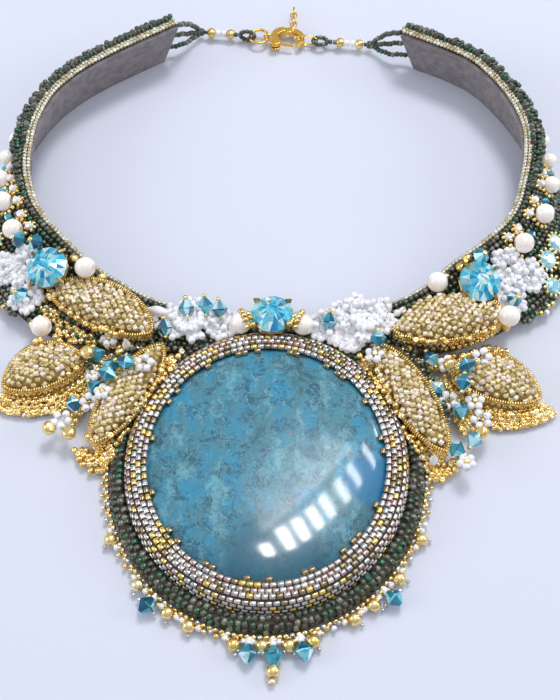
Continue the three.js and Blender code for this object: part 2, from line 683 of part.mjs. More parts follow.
// Cluster: every element after the first is tied to an earlier one by a thread
function cluster(elements) {
  const pieces = [];
  elements.forEach((one, i) => {
    const { bead, at, axis, size } = one;
    if (bead === 'blossom') pieces.push(blossom(size * BLOSSOM, at, axis));
    if (bead === 'ball') pieces.push(ball(size * FRINGE_BALL, at));
    if (bead === 'bicone') pieces.push(bicone(size * BICONE, at, axis));
    if (bead === 'drop') pieces.push(dropBead(size * DROP_LENGTH, DROP_WIDTH, at, one.lay));
    if (bead === 'stone') pieces.push(cutStone(size * OPAL_WIDTH, at, axis));
    if (i > 0) {
      const tie = elements[one.tie ?? 0];
      const lift = (e) => e.at.clone().addScaledVector(e.axis, e.bead === 'blossom' ? BLOSSOM_HEIGHT / 2 : 0);
      if (lift(tie).distanceTo(lift(one)) > (tie.size * BLOSSOM) * 0.7) {
        pieces.push(bar(new THREE.LineCurve3(lift(tie), lift(one)), THREAD, 1, 4));
      }
    }
  });
  return pieces.map(solidOf).reduce((all, one) => all.add(one));
}

// How far an element stands over what it rests on
const riseOf = ({ bead, size }) => ({
  blossom: GAP,
  ball: (size * FRINGE_BALL) / 2 + GAP,
  bicone: (size * BICONE) / 2 + GAP,
  drop: DROP_WIDTH / 2 + GAP,
  stone: size * OPAL_WIDTH * 0.22 + GAP,
}[bead]);

// Bead flowers at the front, by shares of the pendant's half width and half length
const CENTER_FLOWERS = {
  left: [
    { bead: 'blossom', at: [0.573, 0.955], size: 1.08 },
    { bead: 'blossom', at: [0.344, 0.945], size: 0.75 },
    { bead: 'drop', at: [0.79, 0.99], size: 1.0 },
    { bead: 'bicone', at: [0.585, 1.02], size: 1.0 },
    { bead: 'bicone', at: [0.461, 1.04], size: 1.0 },
    { bead: 'bicone', at: [0.361, 1.02], size: 1.0, tie: 1 },
    { bead: 'bicone', at: [0.72, 0.87], size: 1.0 },
  ],
  right: [
    { bead: 'blossom', at: [0.645, 1.0], size: 1.15 },
    { bead: 'blossom', at: [0.387, 0.945], size: 0.92 },
    { bead: 'blossom', at: [0.527, 0.87], size: 0.66 },
    { bead: 'bicone', at: [0.384, 0.95], size: 1.0, tie: 1 },
    { bead: 'ball', at: [0.596, 1.03], size: 0.8 },
    { bead: 'ball', at: [0.41, 1.04], size: 0.7, tie: 1 },
  ],
};

// Bead flowers on the band, by row and share of the band's width
const BAND_FLOWERS = {
  left: [
    { bead: 'blossom', at: [5.15, 0.50], size: 0.80 },
    { bead: 'blossom', at: [5.42, 0.74], size: 0.72 },
    { bead: 'blossom', at: [4.60, 0.76], size: 0.85 },
    { bead: 'bicone', at: [5.2, 0.22], size: 1.0 },
    { bead: 'bicone', at: [4.65, 0.80], size: 1.0, tie: 2 },
    { bead: 'bicone', at: [5.55, 0.36], size: 1.0 },
  ],
  right: [
    { bead: 'blossom', at: [4.85, 0.36], size: 0.80 },
    { bead: 'blossom', at: [5.10, 0.62], size: 0.75 },
    { bead: 'blossom', at: [4.55, 0.70], size: 0.80 },
    { bead: 'bicone', at: [4.45, 0.10], size: 1.0 },
    { bead: 'bicone', at: [4.55, 0.74], size: 1.0, tie: 2 },
  ],
};

// Cut stones and gold balls on the band's outer edge
const EDGE_STONES = {
  left: [
    { bead: 'stone', at: [5.98, 0.70], size: 1.0 },
    { bead: 'stone', at: [6.3, 0.66], size: 0.8 },
    { bead: 'ball', at: [5.72, 0.86], size: 1.0 },
    { bead: 'ball', at: [6.15, 0.88], size: 0.8 },
  ],
  right: [
    { bead: 'stone', at: [5.66, 0.68], size: 1.0 },
    { bead: 'stone', at: [6.0, 0.66], size: 0.9 },
    { bead: 'stone', at: [5.42, 0.94], size: 0.9 },
    { bead: 'ball', at: [5.75, 0.92], size: 1.0 },
  ],
};

// Branches between the leaves, by shares of the wing's span from the wing root
const SPRAYS = {
  left: {
    branch: [[0.06, 0.08], [0.16, 0.07], [0.27, 0.03], [0.34, -0.04], [0.34, -0.16], [0.40, -0.30],
      [0.46, -0.40]],
    beads: [
      { bead: 'bicone', at: [0.45, 0.04], size: 1.0 },
      { bead: 'bicone', at: [0.335, -0.235], size: 1.0 },
      { bead: 'ball', at: [0.485, -0.06], size: 1.2 },
      { bead: 'bicone', at: [0.44, -0.20], size: 1.0 },
      { bead: 'blossom', at: [0.43, -0.36], size: 0.50 },
      { bead: 'ball', at: [0.55, -0.42], size: 1.0 },
      { bead: 'ball', at: [0.66, -0.52], size: 1.0 },
      { bead: 'blossom', at: [0.28, 0.07], size: 0.40 },
    ],
  },
  right: {
    branch: [[0.06, 0.12], [0.14, 0.11], [0.22, 0.06], [0.28, -0.04], [0.34, -0.14], [0.39, -0.26],
      [0.44, -0.40], [0.47, -0.50]],
    beads: [
      { bead: 'bicone', at: [0.345, 0.055], size: 1.0 },
      { bead: 'ball', at: [0.455, -0.08], size: 1.2 },
      { bead: 'bicone', at: [0.375, -0.18], size: 1.0 },
      { bead: 'bicone', at: [0.50, -0.30], size: 1.0 },
      { bead: 'blossom', at: [0.52, -0.42], size: 0.50 },
      { bead: 'bicone', at: [0.59, -0.54], size: 1.0 },
      { bead: 'ball', at: [0.50, -0.60], size: 1.0 },
    ],
  },
};

// Elements lying on the pendant's edge, on the band, or between the leaves
function laidFlat(at, one, reach) {
  const lift = riseOf(one);
  const height = topAt(at.x, at.y, reach) + lift;
  return { ...one, at: at.clone().setZ(height), axis: UP };
}

function onBandElements(side, list) {
  return list.map((one) => ({
    ...one,
    at: onBand(side, one.at[0], one.at[1], riseOf(one)),
    axis: spines[side](one.at[0]).normal,
  }));
}

function sprayBody(side) {
  const { branch, beads } = SPRAYS[side];
  const place = ([out, up]) => new THREE.Vector3(
    SIDES[side] * (wingRoot.out + out * WING_SPAN), wingRoot.up + up * WING_SPAN, 0);
  const stem = branch.map((point) => {
    const at = place(point);
    return at.setZ(Math.max(SPRAY_RISE, topAt(at.x, at.y, THREAD) + THREAD));
  });
  const body = solidOf(bar(spline(stem), 1.6 * THREAD, 9, 5));
  const elements = beads.map((one) => {
    const laid = laidFlat(place(one.at), one, (one.size * BICONE) / 3);
    laid.at.z = Math.max(laid.at.z, SPRAY_RISE + THREAD / 2);
    return laid;
  });
  return elements.reduce((all, one) => {
    const tie = stem.reduce((near, p) => (p.distanceTo(one.at) < near.distanceTo(one.at) ? p : near));
    return all.add(cluster([{ bead: 'none', at: tie, axis: UP, size: 1 }, one]));
  }, body);
}

for (const side of Object.keys(SIDES)) {
  const clear = [pendantClear, bandClear[side], ...wingClear[side], ...stoneClears, ...pearlClears[side]];
  const front = cluster(CENTER_FLOWERS[side].map((one) => {
    const laid = laidFlat(onPendantShare(side, ...one.at), one, (one.size * BLOSSOM) / 3);
    if (one.bead === 'bicone') laid.at.z += BLOSSOM_HEIGHT;
    return { ...laid, lay: new THREE.Vector3(SIDES[side], 0.25, 0).normalize() };
  }));
  const flowers = [
    ['flower_center', front, chalkWhite],
    ['flower', cluster(onBandElements(side, BAND_FLOWERS[side])), chalkWhite],
    ['side_ornament', cluster(onBandElements(side, EDGE_STONES[side])), opalBlue],
    ['spray', sprayBody(side), chalkWhite],
  ];
  for (const [name, solid, material] of flowers) {
    const body = fitted(solid, clear);
    add(`${name}_${side}`, geometryOf(body), material);
    clear.push(body);
  }
}

// Closure: its own frame with the line of rings along X, the clasp at the middle
const closure = new THREE.Group();
closure.position.set(0.4, neckFront + NECK_DEPTH + CLOSURE_SETBACK, 0);
closure.rotation.z = THREE.MathUtils.degToRad(CLOSURE_TURN);
model.add(closure);
closure.updateWorldMatrix(true, false);

// Closed ring of round wire, flat on the surface or standing on its edge
function wireRing({ x, y = 0, z, length, width, wire, plane, steps = 12 }) {
  const turn = new THREE.TorusGeometry(2, 1, 5, steps);
  return reshaped(turn, (v) => {
    const angle = Math.atan2(v.y, v.x);
    const radial = (Math.hypot(v.x, v.y) - 2) * (wire / 2);
    const c = ((length - wire) / 2 + radial) * Math.cos(angle);
    const d = ((width - wire) / 2 + radial) * Math.sin(angle);
    const e = (v.z * wire) / 2;
    if (plane === 'flat') return new THREE.Vector3(x + c, y + d, z + e);
    if (plane === 'standing') return new THREE.Vector3(x + c, y + e, z + d);
    return new THREE.Vector3(x + e, y + c, z + d);
  });
}

// Clasp: eye, curved body with a hook, and cheeks that carry the pivot pin
const claspEye = -CLASP_LENGTH / 2;
const pivot = { u: -0.265 * CLASP_LENGTH, v: -0.295 * CLASP_WIDTH };
const outerBow = { u: 0.08 * CLASP_LENGTH, a: CLASP_LENGTH / 2, b: CLASP_WIDTH / 2 };
const innerBow = { u: outerBow.u + 0.4, a: outerBow.a - CLASP_WALL, b: outerBow.b - CLASP_WALL };

function bow(from, to, steps, thickness) {
  const point = ({ u, a, b }, degrees) => {
    const angle = THREE.MathUtils.degToRad(degrees);
    return [u + a * Math.cos(angle), b * Math.sin(angle)];
  };
  const shape = new THREE.Shape();
  for (let i = 0; i <= steps; i += 1) {
    const [x, y] = point(outerBow, THREE.MathUtils.lerp(from, to, i / steps));
    if (i === 0) shape.moveTo(x, y);
    else shape.lineTo(x, y);
  }
  for (let i = steps; i >= 0; i -= 1) {
    shape.lineTo(...point(innerBow, THREE.MathUtils.lerp(from, to, i / steps)));
  }
  const g = new THREE.ExtrudeGeometry(shape, { depth: thickness, bevelEnabled: false });
  return g.translate(0, 0, CLASP_RISE - thickness / 2);
}

const disc = (diameter, thickness, at, sides = 12) => {
  const r = diameter / 2;
  const g = turned([[0, -thickness / 2], [r, -thickness / 2], [r, thickness / 2], [0, thickness / 2]], sides);
  return g.translate(at.u, at.v, CLASP_RISE);
};
const slot = LEVER_THICKNESS + 2 * GAP;
const cheeks = solidOf(disc(LEVER_HUB + 2 * GAP, CLASP_THICKNESS, pivot));
const housing = solidOf(bow(...HOUSING_ARC, 7, CLASP_THICKNESS)).add(cheeks)
  .subtract(solidOf(disc(LEVER_HUB + 2.2 * GAP, slot, pivot)));
const claspBody = housing.add(solidOf(bow(...HOOK_ARC, 12, HOOK_THICKNESS)))
  .add(solidOf(disc(PIVOT_PIN, CLASP_THICKNESS - 0.2, pivot, 10)))
  .add(solidOf(wireRing({ x: claspEye, z: CLASP_RISE, length: CLASP_EYE, width: CLASP_EYE,
    wire: CLASP_EYE_WIRE, plane: 'standing', steps: 10 })));
add('clasp_body', geometryOf(claspBody), goldBead, closure);

const leverTip = { u: innerBow.u + innerBow.a * 0.4, v: -0.345 * CLASP_WIDTH };
const leverBar = new THREE.LineCurve3(
  new THREE.Vector3(pivot.u, pivot.v, CLASP_RISE), new THREE.Vector3(leverTip.u, leverTip.v, CLASP_RISE));
const leverArm = bar(leverBar, LEVER_WIDTH, 1, 4);
const lever = solidOf(disc(LEVER_HUB, LEVER_THICKNESS, pivot)).add(solidOf(leverArm))
  .subtract(solidOf(disc(PIVOT_PIN + 2 * PIVOT_PLAY, 2 * LEVER_THICKNESS, pivot, 10)));
add('clasp_lever', geometryOf(lever), goldBead, closure);

// Rings either side of the clasp, each through its neighbours
const eyeHole = CLASP_EYE / 2 - CLASP_EYE_WIRE;
const ringAt = claspEye - (RING_WIDTH - RING_WIRE) / 2 + (eyeHole - RING_WIRE / 2 - GAP) / 2;
add('jump_ring_left', wireRing({ x: ringAt, z: CLASP_RISE, length: RING_WIDTH, width: RING_WIDTH,
  wire: RING_WIRE, plane: 'flat' }), goldWire, closure);
const hookInside = innerBow.u + innerBow.a;
const linkAt = hookInside - 3 * GAP - LINK_WIRE + LINK_LENGTH / 2;
add('jump_ring_right', wireRing({ x: linkAt, z: CLASP_RISE, length: LINK_LENGTH, width: LINK_HEIGHT,
  wire: LINK_WIRE, plane: 'standing' }), goldWire, closure);

// Bead links: a loop of seed beads, then gold, white and gold beads on a thread
const loopHole = LOOP_LENGTH / 2 - STRAND;
const loopLeft = ringAt - RING_WIDTH / 2 + RING_WIRE + GAP - loopHole;
const loopRight = linkAt + LINK_LENGTH / 2 - LINK_WIRE - GAP + loopHole;
const knotLeft = -CLOSURE_SPAN / 2;
const knotRight = CLOSURE_SPAN / 2;
const knotSize = 1.7 * STRAND;

function beadLink(side, loopAt, knotAt, plane) {
  const inner = loopAt + SIDES[side] * (LOOP_LENGTH / 2 - STRAND / 2);
  const outer = knotAt - SIDES[side] * (knotSize / 2 + GAP + CLASP_BEAD / 2);
  const z = CLASP_RISE;
  const pieces = [
    wireRing({ x: loopAt, z, length: LOOP_LENGTH, width: LOOP_HEIGHT, wire: STRAND, plane, steps: 11 }),
    bar(new THREE.LineCurve3(new THREE.Vector3(inner, 0, z), new THREE.Vector3(outer, 0, z)),
      SEED * 0.8, 1, 4),
  ];
  for (const share of [0, 0.5, 1]) {
    const x = outer - SIDES[side] * share * 1.85 * CLASP_BEAD;
    pieces.push(ball(CLASP_BEAD, new THREE.Vector3(x, 0, z)));
  }
  return fuse(pieces);
}
add('bead_link_left', beadLink('left', loopLeft, knotLeft, 'standing'), goldBead, closure);
add('bead_link_right', beadLink('right', loopRight, knotRight, 'flat'), goldBead, closure);

// Three strands of seed beads from each band's end to its knot, started at shares of the band's width
const STRAND_STARTS = [0.12, 0.42, 0.78];
for (const [side, knotAt] of [['left', knotLeft], ['right', knotRight]]) {
  const knot = closure.localToWorld(new THREE.Vector3(knotAt, 0, CLASP_RISE));
  const { edge, across, normal, along, width } = spines[side](LAST_ROW);
  const pieces = [ball(knotSize, knot)];
  STRAND_STARTS.forEach((share, i) => {
    const start = edge.clone().addScaledVector(across, share * width).addScaledVector(normal, GROUND / 2)
      .addScaledVector(along, GAP - share * END_SLANT);
    const leave = start.clone().addScaledVector(along, STRAND);
    const middle = leave.clone().lerp(knot, 0.5);
    middle.y += (1 - i) * STRAND;
    middle.z = Math.max(middle.z, STRAND / 2 + 0.1);
    pieces.push(bar(spline([start, leave, middle, knot]), STRAND, 4, 5));
  });
  add(`bead_loops_${side}`, fuse(pieces), darkGreen);
}

// Extension chain: a ring round the clasp's upper wire, then links by turns flat and standing
const hookTop = (outerBow.b + innerBow.b) / 2;
const chainStart = closure.localToWorld(new THREE.Vector3(innerBow.u + 0.25 * innerBow.a, hookTop, 0));
const ringRadius = (CHAIN_RING - CHAIN_WIRE) / 2;
const links = [wireRing({ x: chainStart.x, y: 0, z: 0, length: CHAIN_RING, width: CHAIN_RING,
  wire: CHAIN_WIRE, plane: 'cross', steps: 10 }).translate(0, chainStart.y, CHAIN_RING / 2 + 0.05)];
const held = CHAIN_WIRE * 0.9;
let reach = chainStart.y + ringRadius - held;
for (let i = 0; i < CHAIN_LINKS; i += 1) {
  const half = (CHAIN_LINK - CHAIN_WIRE) / 2;
  const z = THREE.MathUtils.lerp(CHAIN_RING / 2, CHAIN_LINK_WIDTH / 2 + 0.05, (i + 0.6) / CHAIN_LINKS);
  const link = wireRing({ x: 0, z: 0, length: CHAIN_LINK, width: CHAIN_LINK_WIDTH, wire: CHAIN_WIRE,
    plane: i % 2 === 0 ? 'flat' : 'standing', steps: 10 });
  link.rotateZ(Math.PI / 2);
  links.push(link.translate(chainStart.x, reach + half, z));
  reach += 2 * half - held;
}
add('extension_chain', fuse(links), goldBead);

export default model;
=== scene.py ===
# %% [markdown]
# # A bead-embroidered bib necklace
# A large blue stone sits in a ring of woven beads, with six domed bead leaves beside it, white bead
# flowers above it and two curved bands that close behind the neck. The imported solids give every
# piece its place. This lesson dresses them: the solids that have the right form stay as the ground
# that beads are sewn on, and small forms such as flowers and rings are made again with real beads.

import json
import math

import bmesh
import bpy
import numpy as np
from mathutils import Matrix, Vector
from mathutils.bvhtree import BVHTree

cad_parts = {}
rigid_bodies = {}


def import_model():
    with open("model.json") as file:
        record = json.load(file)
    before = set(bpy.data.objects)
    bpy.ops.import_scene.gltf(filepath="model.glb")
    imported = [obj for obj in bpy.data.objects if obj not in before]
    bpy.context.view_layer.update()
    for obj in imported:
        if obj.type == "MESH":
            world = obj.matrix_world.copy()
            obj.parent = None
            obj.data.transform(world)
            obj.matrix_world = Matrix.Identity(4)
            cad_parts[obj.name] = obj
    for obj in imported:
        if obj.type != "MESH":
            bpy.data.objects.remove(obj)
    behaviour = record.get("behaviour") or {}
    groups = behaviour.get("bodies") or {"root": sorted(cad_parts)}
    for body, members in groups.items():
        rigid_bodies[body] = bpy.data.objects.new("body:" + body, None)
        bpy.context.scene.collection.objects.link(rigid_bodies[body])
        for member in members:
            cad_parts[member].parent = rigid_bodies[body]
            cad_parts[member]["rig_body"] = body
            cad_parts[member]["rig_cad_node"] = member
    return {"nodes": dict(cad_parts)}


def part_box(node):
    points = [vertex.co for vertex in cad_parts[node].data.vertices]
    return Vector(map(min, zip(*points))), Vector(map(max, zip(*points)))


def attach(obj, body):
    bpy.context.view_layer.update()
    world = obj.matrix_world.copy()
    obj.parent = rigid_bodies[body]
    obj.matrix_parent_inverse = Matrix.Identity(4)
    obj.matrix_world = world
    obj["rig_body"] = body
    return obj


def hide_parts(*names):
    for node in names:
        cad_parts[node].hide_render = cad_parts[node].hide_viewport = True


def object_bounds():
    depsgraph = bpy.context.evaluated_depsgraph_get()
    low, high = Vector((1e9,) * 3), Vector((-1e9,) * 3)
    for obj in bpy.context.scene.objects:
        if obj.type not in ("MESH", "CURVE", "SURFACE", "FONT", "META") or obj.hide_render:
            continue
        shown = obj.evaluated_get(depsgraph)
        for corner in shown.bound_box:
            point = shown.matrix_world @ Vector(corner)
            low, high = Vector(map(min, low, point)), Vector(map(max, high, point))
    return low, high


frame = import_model()
solids = frame["nodes"]
solid_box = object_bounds()
MM = 0.001
draw = np.random.default_rng(11)
corners = [[round(c / MM, 1) for c in corner] for corner in solid_box]
print("solids:", len(solids), "box in mm:", corners)

# %% [markdown]
# The camera looks down at the necklace from the front, 58 degrees over the table and a hair to the
# left. It stands 272 mm from a point a little above the stone. Its lens is given in pixels for a
# picture 700 pixels high, and the picture's long side takes the whole of a 36 mm sensor.

# %% Camera
CAMERA_HEIGHT_ANGLE = math.radians(58)
CAMERA_SIDE_ANGLE = math.radians(1.7)
AIM = Vector((2.0, 32.2, 0.0)) * MM
CAMERA_DISTANCE = 272 * MM
PICTURE_HEIGHT, FOCAL_LENGTH, SENSOR = 700, 1133, 36
sight = Vector((
    -math.sin(CAMERA_SIDE_ANGLE) * math.cos(CAMERA_HEIGHT_ANGLE),
    math.cos(CAMERA_SIDE_ANGLE) * math.cos(CAMERA_HEIGHT_ANGLE),
    -math.sin(CAMERA_HEIGHT_ANGLE),
))
camera_data = bpy.data.cameras.new("camera")
camera_data.sensor_width = SENSOR
camera_data.lens = FOCAL_LENGTH / PICTURE_HEIGHT * SENSOR
camera_data.clip_start = 10 * MM
camera = bpy.data.objects.new("camera", camera_data)
bpy.context.scene.collection.objects.link(camera)
camera.location = AIM - sight * CAMERA_DISTANCE
camera.rotation_euler = sight.to_track_quat("-Z", "Y").to_euler()
bpy.context.scene.camera = camera
bpy.context.scene.view_settings.view_transform = "Standard"
print("camera at", [round(c / MM, 1) for c in camera.location], "mm")
print("lens:", round(camera_data.lens, 2), "mm")

# %% [markdown]
# Shader sums are easier to read as sums. A `Line` is one socket of a shader, and adding or
# multiplying lines adds the Math nodes. `Finish` is one material: its `add` makes any other node,
# and `paint` joins lines to the sockets of the surface.

# %% Lines and finishes
class Line:
    """One socket of a finish that can be used in sums."""

    def __init__(self, finish, socket):
        self.finish, self.socket = finish, socket

    def _sum(self, operation, a, b):
        return self.finish.add("Math", {"operation": operation}, {0: a, 1: b})

    def __add__(self, other):
        return self._sum("ADD", self, other)

    def __radd__(self, other):
        return self._sum("ADD", other, self)

    def __sub__(self, other):
        return self._sum("SUBTRACT", self, other)

    def __rsub__(self, other):
        return self._sum("SUBTRACT", other, self)

    def __mul__(self, other):
        return self._sum("MULTIPLY", self, other)

    def __rmul__(self, other):
        return self._sum("MULTIPLY", other, self)

    def between(self, low, high):
        """0 under low, 1 over high, and a smooth step between them."""
        sockets = {"Value": self, "From Min": low, "From Max": high}
        return self.finish.add("MapRange", {"interpolation_type": "SMOOTHSTEP"}, sockets)


class Finish:
    """A material. Numbers that are the same all over go on the surface's own sockets."""

    def __init__(self, name, **same_all_over):
        self.material = bpy.data.materials.new(name)
        self.material.use_nodes = True
        self.tree = self.material.node_tree
        self.surface = self.tree.nodes["Principled BSDF"]
        for socket, value in same_all_over.items():
            self.surface.inputs[socket.replace("_", " ")].default_value = value

    def add(self, kind, settings=None, sockets=None, out=0):
        """Any shader node: its settings first, then the values or lines of its sockets."""
        node = self.tree.nodes.new("ShaderNode" + kind)
        for key, value in (settings or {}).items():
            setattr(node, key, value)
        for key, value in (sockets or {}).items():
            self.feed(node.inputs[key], value)
        return Line(self, node.outputs[out])

    def feed(self, socket, value):
        if isinstance(value, Line):
            self.tree.links.new(value.socket, socket)
        else:
            socket.default_value = value

    def ramp(self, line, stops, interpolation="LINEAR"):
        ramp = self.add("ValToRGB", {}, {0: line})
        band = ramp.socket.node.color_ramp
        band.interpolation = interpolation
        band.elements[0].position, band.elements[0].color = stops[0]
        band.elements[1].position, band.elements[1].color = stops[-1]
        for place, colour in stops[1:-1]:
            band.elements.new(place).color = colour
        return ramp

    def mix(self, share, a, b):
        return self.add("Mix", {"data_type": "RGBA"}, {0: share, 6: a, 7: b}, out=2)

    def place(self):
        """Where a point of the piece is, in millimetres."""
        here = self.add("TexCoord", {}, {}, out="Object")
        return self.add("VectorMath", {"operation": "SCALE"}, {0: here, "Scale": 1 / MM})

    def noise(self, spacing, detail=3, rough=0.6, at=None, out="Fac"):
        """Cloudy noise whose features are about this many millimetres apart."""
        sockets = {
            "Vector": at or self.place(), "Scale": 1 / spacing, "Detail": detail, "Roughness": rough}
        return self.add("TexNoise", {}, sockets, out=out)

    def bump(self, height, depth):
        return self.add("Bump", {}, {"Height": height, "Distance": depth * MM, "Strength": 1.0})

    def paint(self, **sockets):
        for socket, value in sockets.items():
            self.feed(self.surface.inputs[socket.replace("_", " ")], value)
        return self.material


def ink(red, green, blue):
    """A colour as read from a picture, 0 to 255, for a shader."""
    parts = [c / 255 for c in (red, green, blue)]
    linear = [c / 12.92 if c <= 0.04045 else ((c + 0.055) / 1.055) ** 2.4 for c in parts]
    return (*linear, 1.0)


print("mid grey for a shader:", [round(c, 3) for c in ink(128, 128, 128)])

# %% [markdown]
# The table is a plain pale sheet with the faintest cloudiness, so it takes a soft shadow. It isn't part
# of the necklace. A flat grid is enough: it is wide enough to fill every view, and lies a hair under
# the necklace so that no two faces share one plane.

# %% Table
TABLE_SIZE, TABLE_DROP = 3.0, 0.05 * MM


def deselect():
    """Leaves edit mode, with nothing selected."""
    if bpy.context.object and bpy.context.object.mode != "OBJECT":
        bpy.ops.object.mode_set(mode="OBJECT")
    bpy.ops.object.select_all(action="DESELECT")


deselect()
bpy.ops.mesh.primitive_grid_add(
    x_subdivisions=12, y_subdivisions=12, size=TABLE_SIZE, location=(0, 30 * MM, -TABLE_DROP))
table = bpy.context.object
table.name = "table"
paper = Finish("pale_paper", Roughness=0.75)
cloud = paper.noise(140, detail=2)
pale = paper.mix(cloud, ink(215, 221, 235), ink(220, 225, 240))
table.data.materials.append(paper.paint(Base_Color=pale))
print("table:", len(table.data.polygons), "faces")

# %% [markdown]
# Beads are modelled as by hand. Faces, edges and points are picked in code by their place, with a
# few small helpers, and then changed with the edit-mode tools. Every helper starts with nothing
# selected, because an operator acts on all that is selected.

# %% Picking in edit mode
def only(piece):
    """Selects this piece alone and makes it active."""
    deselect()
    piece.select_set(True)
    bpy.context.view_layer.objects.active = piece


def editing(piece, everything=False):
    """Opens a piece in edit mode, with all of it or none of it selected."""
    only(piece)
    bpy.ops.object.mode_set(mode="EDIT")
    bpy.ops.mesh.select_mode(type="FACE")
    bpy.ops.mesh.select_all(action="SELECT" if everything else "DESELECT")


def pick(piece, kind, wanted):
    """Selects the faces, edges or points for which wanted(middle, element) is true."""
    bpy.ops.mesh.select_mode(type=kind)
    bpy.ops.mesh.select_all(action="DESELECT")
    mesh = bmesh.from_edit_mesh(piece.data)
    for one in {"FACE": mesh.faces, "EDGE": mesh.edges, "VERT": mesh.verts}[kind]:
        if kind == "VERT":
            middle = one.co
        elif kind == "EDGE":
            middle = (one.verts[0].co + one.verts[1].co) / 2
        else:
            middle = one.calc_center_median()
        if wanted(middle, one):
            one.select_set(True)
    bmesh.update_edit_mesh(piece.data)


def scaled(x=1.0, y=1.0, z=1.0, about=(0, 0, 0)):
    """Scales what is selected about a point."""
    bpy.ops.transform.resize(value=(x, y, z), center_override=about)


# %% [markdown]
# A glass seed bead is a short turned barrel with a hole. It starts as a cylinder; its walls are cut
# in three and the ends drawn in, so it bulges, and each end is inset and pushed in for the hole. A
# cylinder bead is the same with hard shoulders. Each kind is modelled once, with a few dozen faces,
# because it is copied many hundreds of times.

# %% Turned beads
class Pattern:
    """A modelled bead kept as plain arrays in millimetres, ready to be copied."""

    def __init__(self, piece, smooth, by_place=False):
        mesh, faces = piece.data, list(piece.data.polygons)
        if by_place:
            faces.sort(key=lambda face: [round(c / MM, 3) for c in face.center])
        self.points = np.array([v.co for v in mesh.vertices]) / MM
        self.loops = np.array([corner for face in faces for corner in face.vertices])
        self.starts = np.cumsum([0] + [len(face.vertices) for face in faces[:-1]])
        self.faces = len(faces)
        self.smooth = smooth
        self.triangles = len(mesh.loops) - 2 * self.faces
        print(f"{piece.name}: {self.faces} faces, {self.triangles} triangles")
        bpy.data.objects.remove(piece)


HOLE_DEPTH = 0.55


def turned_bead(name, sides, wide, long, end, shoulder, bore):
    """A bead on Z: end is its ends' share of the width, and the walls draw in from shoulder on."""
    deselect()
    bpy.ops.mesh.primitive_cylinder_add(vertices=sides, radius=wide / 2 * MM, depth=long * MM)
    bead = bpy.context.object
    bead.name = name
    editing(bead)
    pick(bead, "EDGE", lambda middle, edge: abs(middle.z) < 0.01 * MM)
    bpy.ops.mesh.subdivide(number_cuts=2)
    inner = long / 6 * MM
    pick(bead, "VERT", lambda at, vert: abs(abs(at.z) - inner) < 0.02 * MM)
    scaled(z=3 * shoulder)
    pick(bead, "VERT", lambda at, vert: abs(abs(at.z) - long / 2 * MM) < 0.02 * MM)
    scaled(end, end)
    level_end = 0.4 * long * MM
    pick(bead, "FACE", lambda middle, face: abs(face.normal.z) > 0.9 and abs(middle.z) > level_end)
    bpy.ops.mesh.inset(thickness=(wide * end - bore) / 2 * MM, use_individual=True)
    scaled(z=HOLE_DEPTH)
    deselect()
    return Pattern(bead, smooth=True)


seed_form = turned_bead("seed_bead", 8, 1.5, 1.15, 0.66, 0.5, 0.55)
barrel_form = turned_bead("cylinder_bead", 8, 1.4, 1.6, 0.86, 0.78, 0.8)

# %% [markdown]
# A round metal bead is a sphere whose pole faces are dissolved into one and pushed in for the
# thread. A cut crystal bead is two eight-sided cones base to base: a cone cut off near its tip, its
# wide end extruded down to a second tip, and its girdle bevelled a little to catch the light.

# %% Round and cut beads
def round_bead(name, sides, rings, wide):
    """A round bead on Z with flat, sunken poles."""
    deselect()
    bpy.ops.mesh.primitive_uv_sphere_add(segments=sides, ring_count=rings, radius=wide / 2 * MM)
    bead = bpy.context.object
    bead.name = name
    editing(bead)
    cap = wide / 2 * MM * math.cos(math.pi / rings)
    pick(bead, "FACE", lambda middle, face: abs(middle.z) > cap)
    bpy.ops.mesh.dissolve_faces()
    pick(bead, "FACE", lambda middle, face: abs(middle.z) > 0.99 * cap)
    scaled(z=0.8)
    deselect()
    return Pattern(bead, smooth=True)


def cut_bead(name, sides, wide, long, tip):
    """A bead of two cut cones on Z, tip wide at both ends."""
    deselect()
    bpy.ops.mesh.primitive_cone_add(
        vertices=sides, radius1=wide / 2 * MM, radius2=tip / 2 * MM, depth=long / 2 * MM,
        location=(0, 0, long / 4 * MM))
    bead = bpy.context.object
    bead.name = name
    bpy.ops.object.transform_apply(location=True)
    editing(bead)
    pick(bead, "FACE", lambda middle, face: face.normal.z < -0.9)
    bpy.ops.mesh.extrude_region_move(TRANSFORM_OT_translate={"value": (0, 0, -long / 2 * MM)})
    scaled(tip / wide, tip / wide, 1, about=(0, 0, -long / 2 * MM))
    short = wide / 2 * MM
    pick(bead, "EDGE", lambda middle, edge: abs(middle.z) < 0.02 * MM and edge.calc_length() < short)
    bpy.ops.mesh.bevel(offset=0.22 * MM, segments=1, affect="EDGES")
    deselect()
    return Pattern(bead, smooth=False)


BALL_RADIUS = 1.5
ball_form = round_bead("round_bead", 14, 9, 2 * BALL_RADIUS)
bicone_form = cut_bead("cut_bead", 8, 4.2, 4.0, 1.0)

# %% [markdown]
# Glass beads of one bag differ a little in colour. Every copy carries a number from 0 to 1, its
# tone, and the finish turns the tone into one of the bag's colours. Fine noise makes the glass
# uneven, and the lining or coating decides how much it shines like metal.

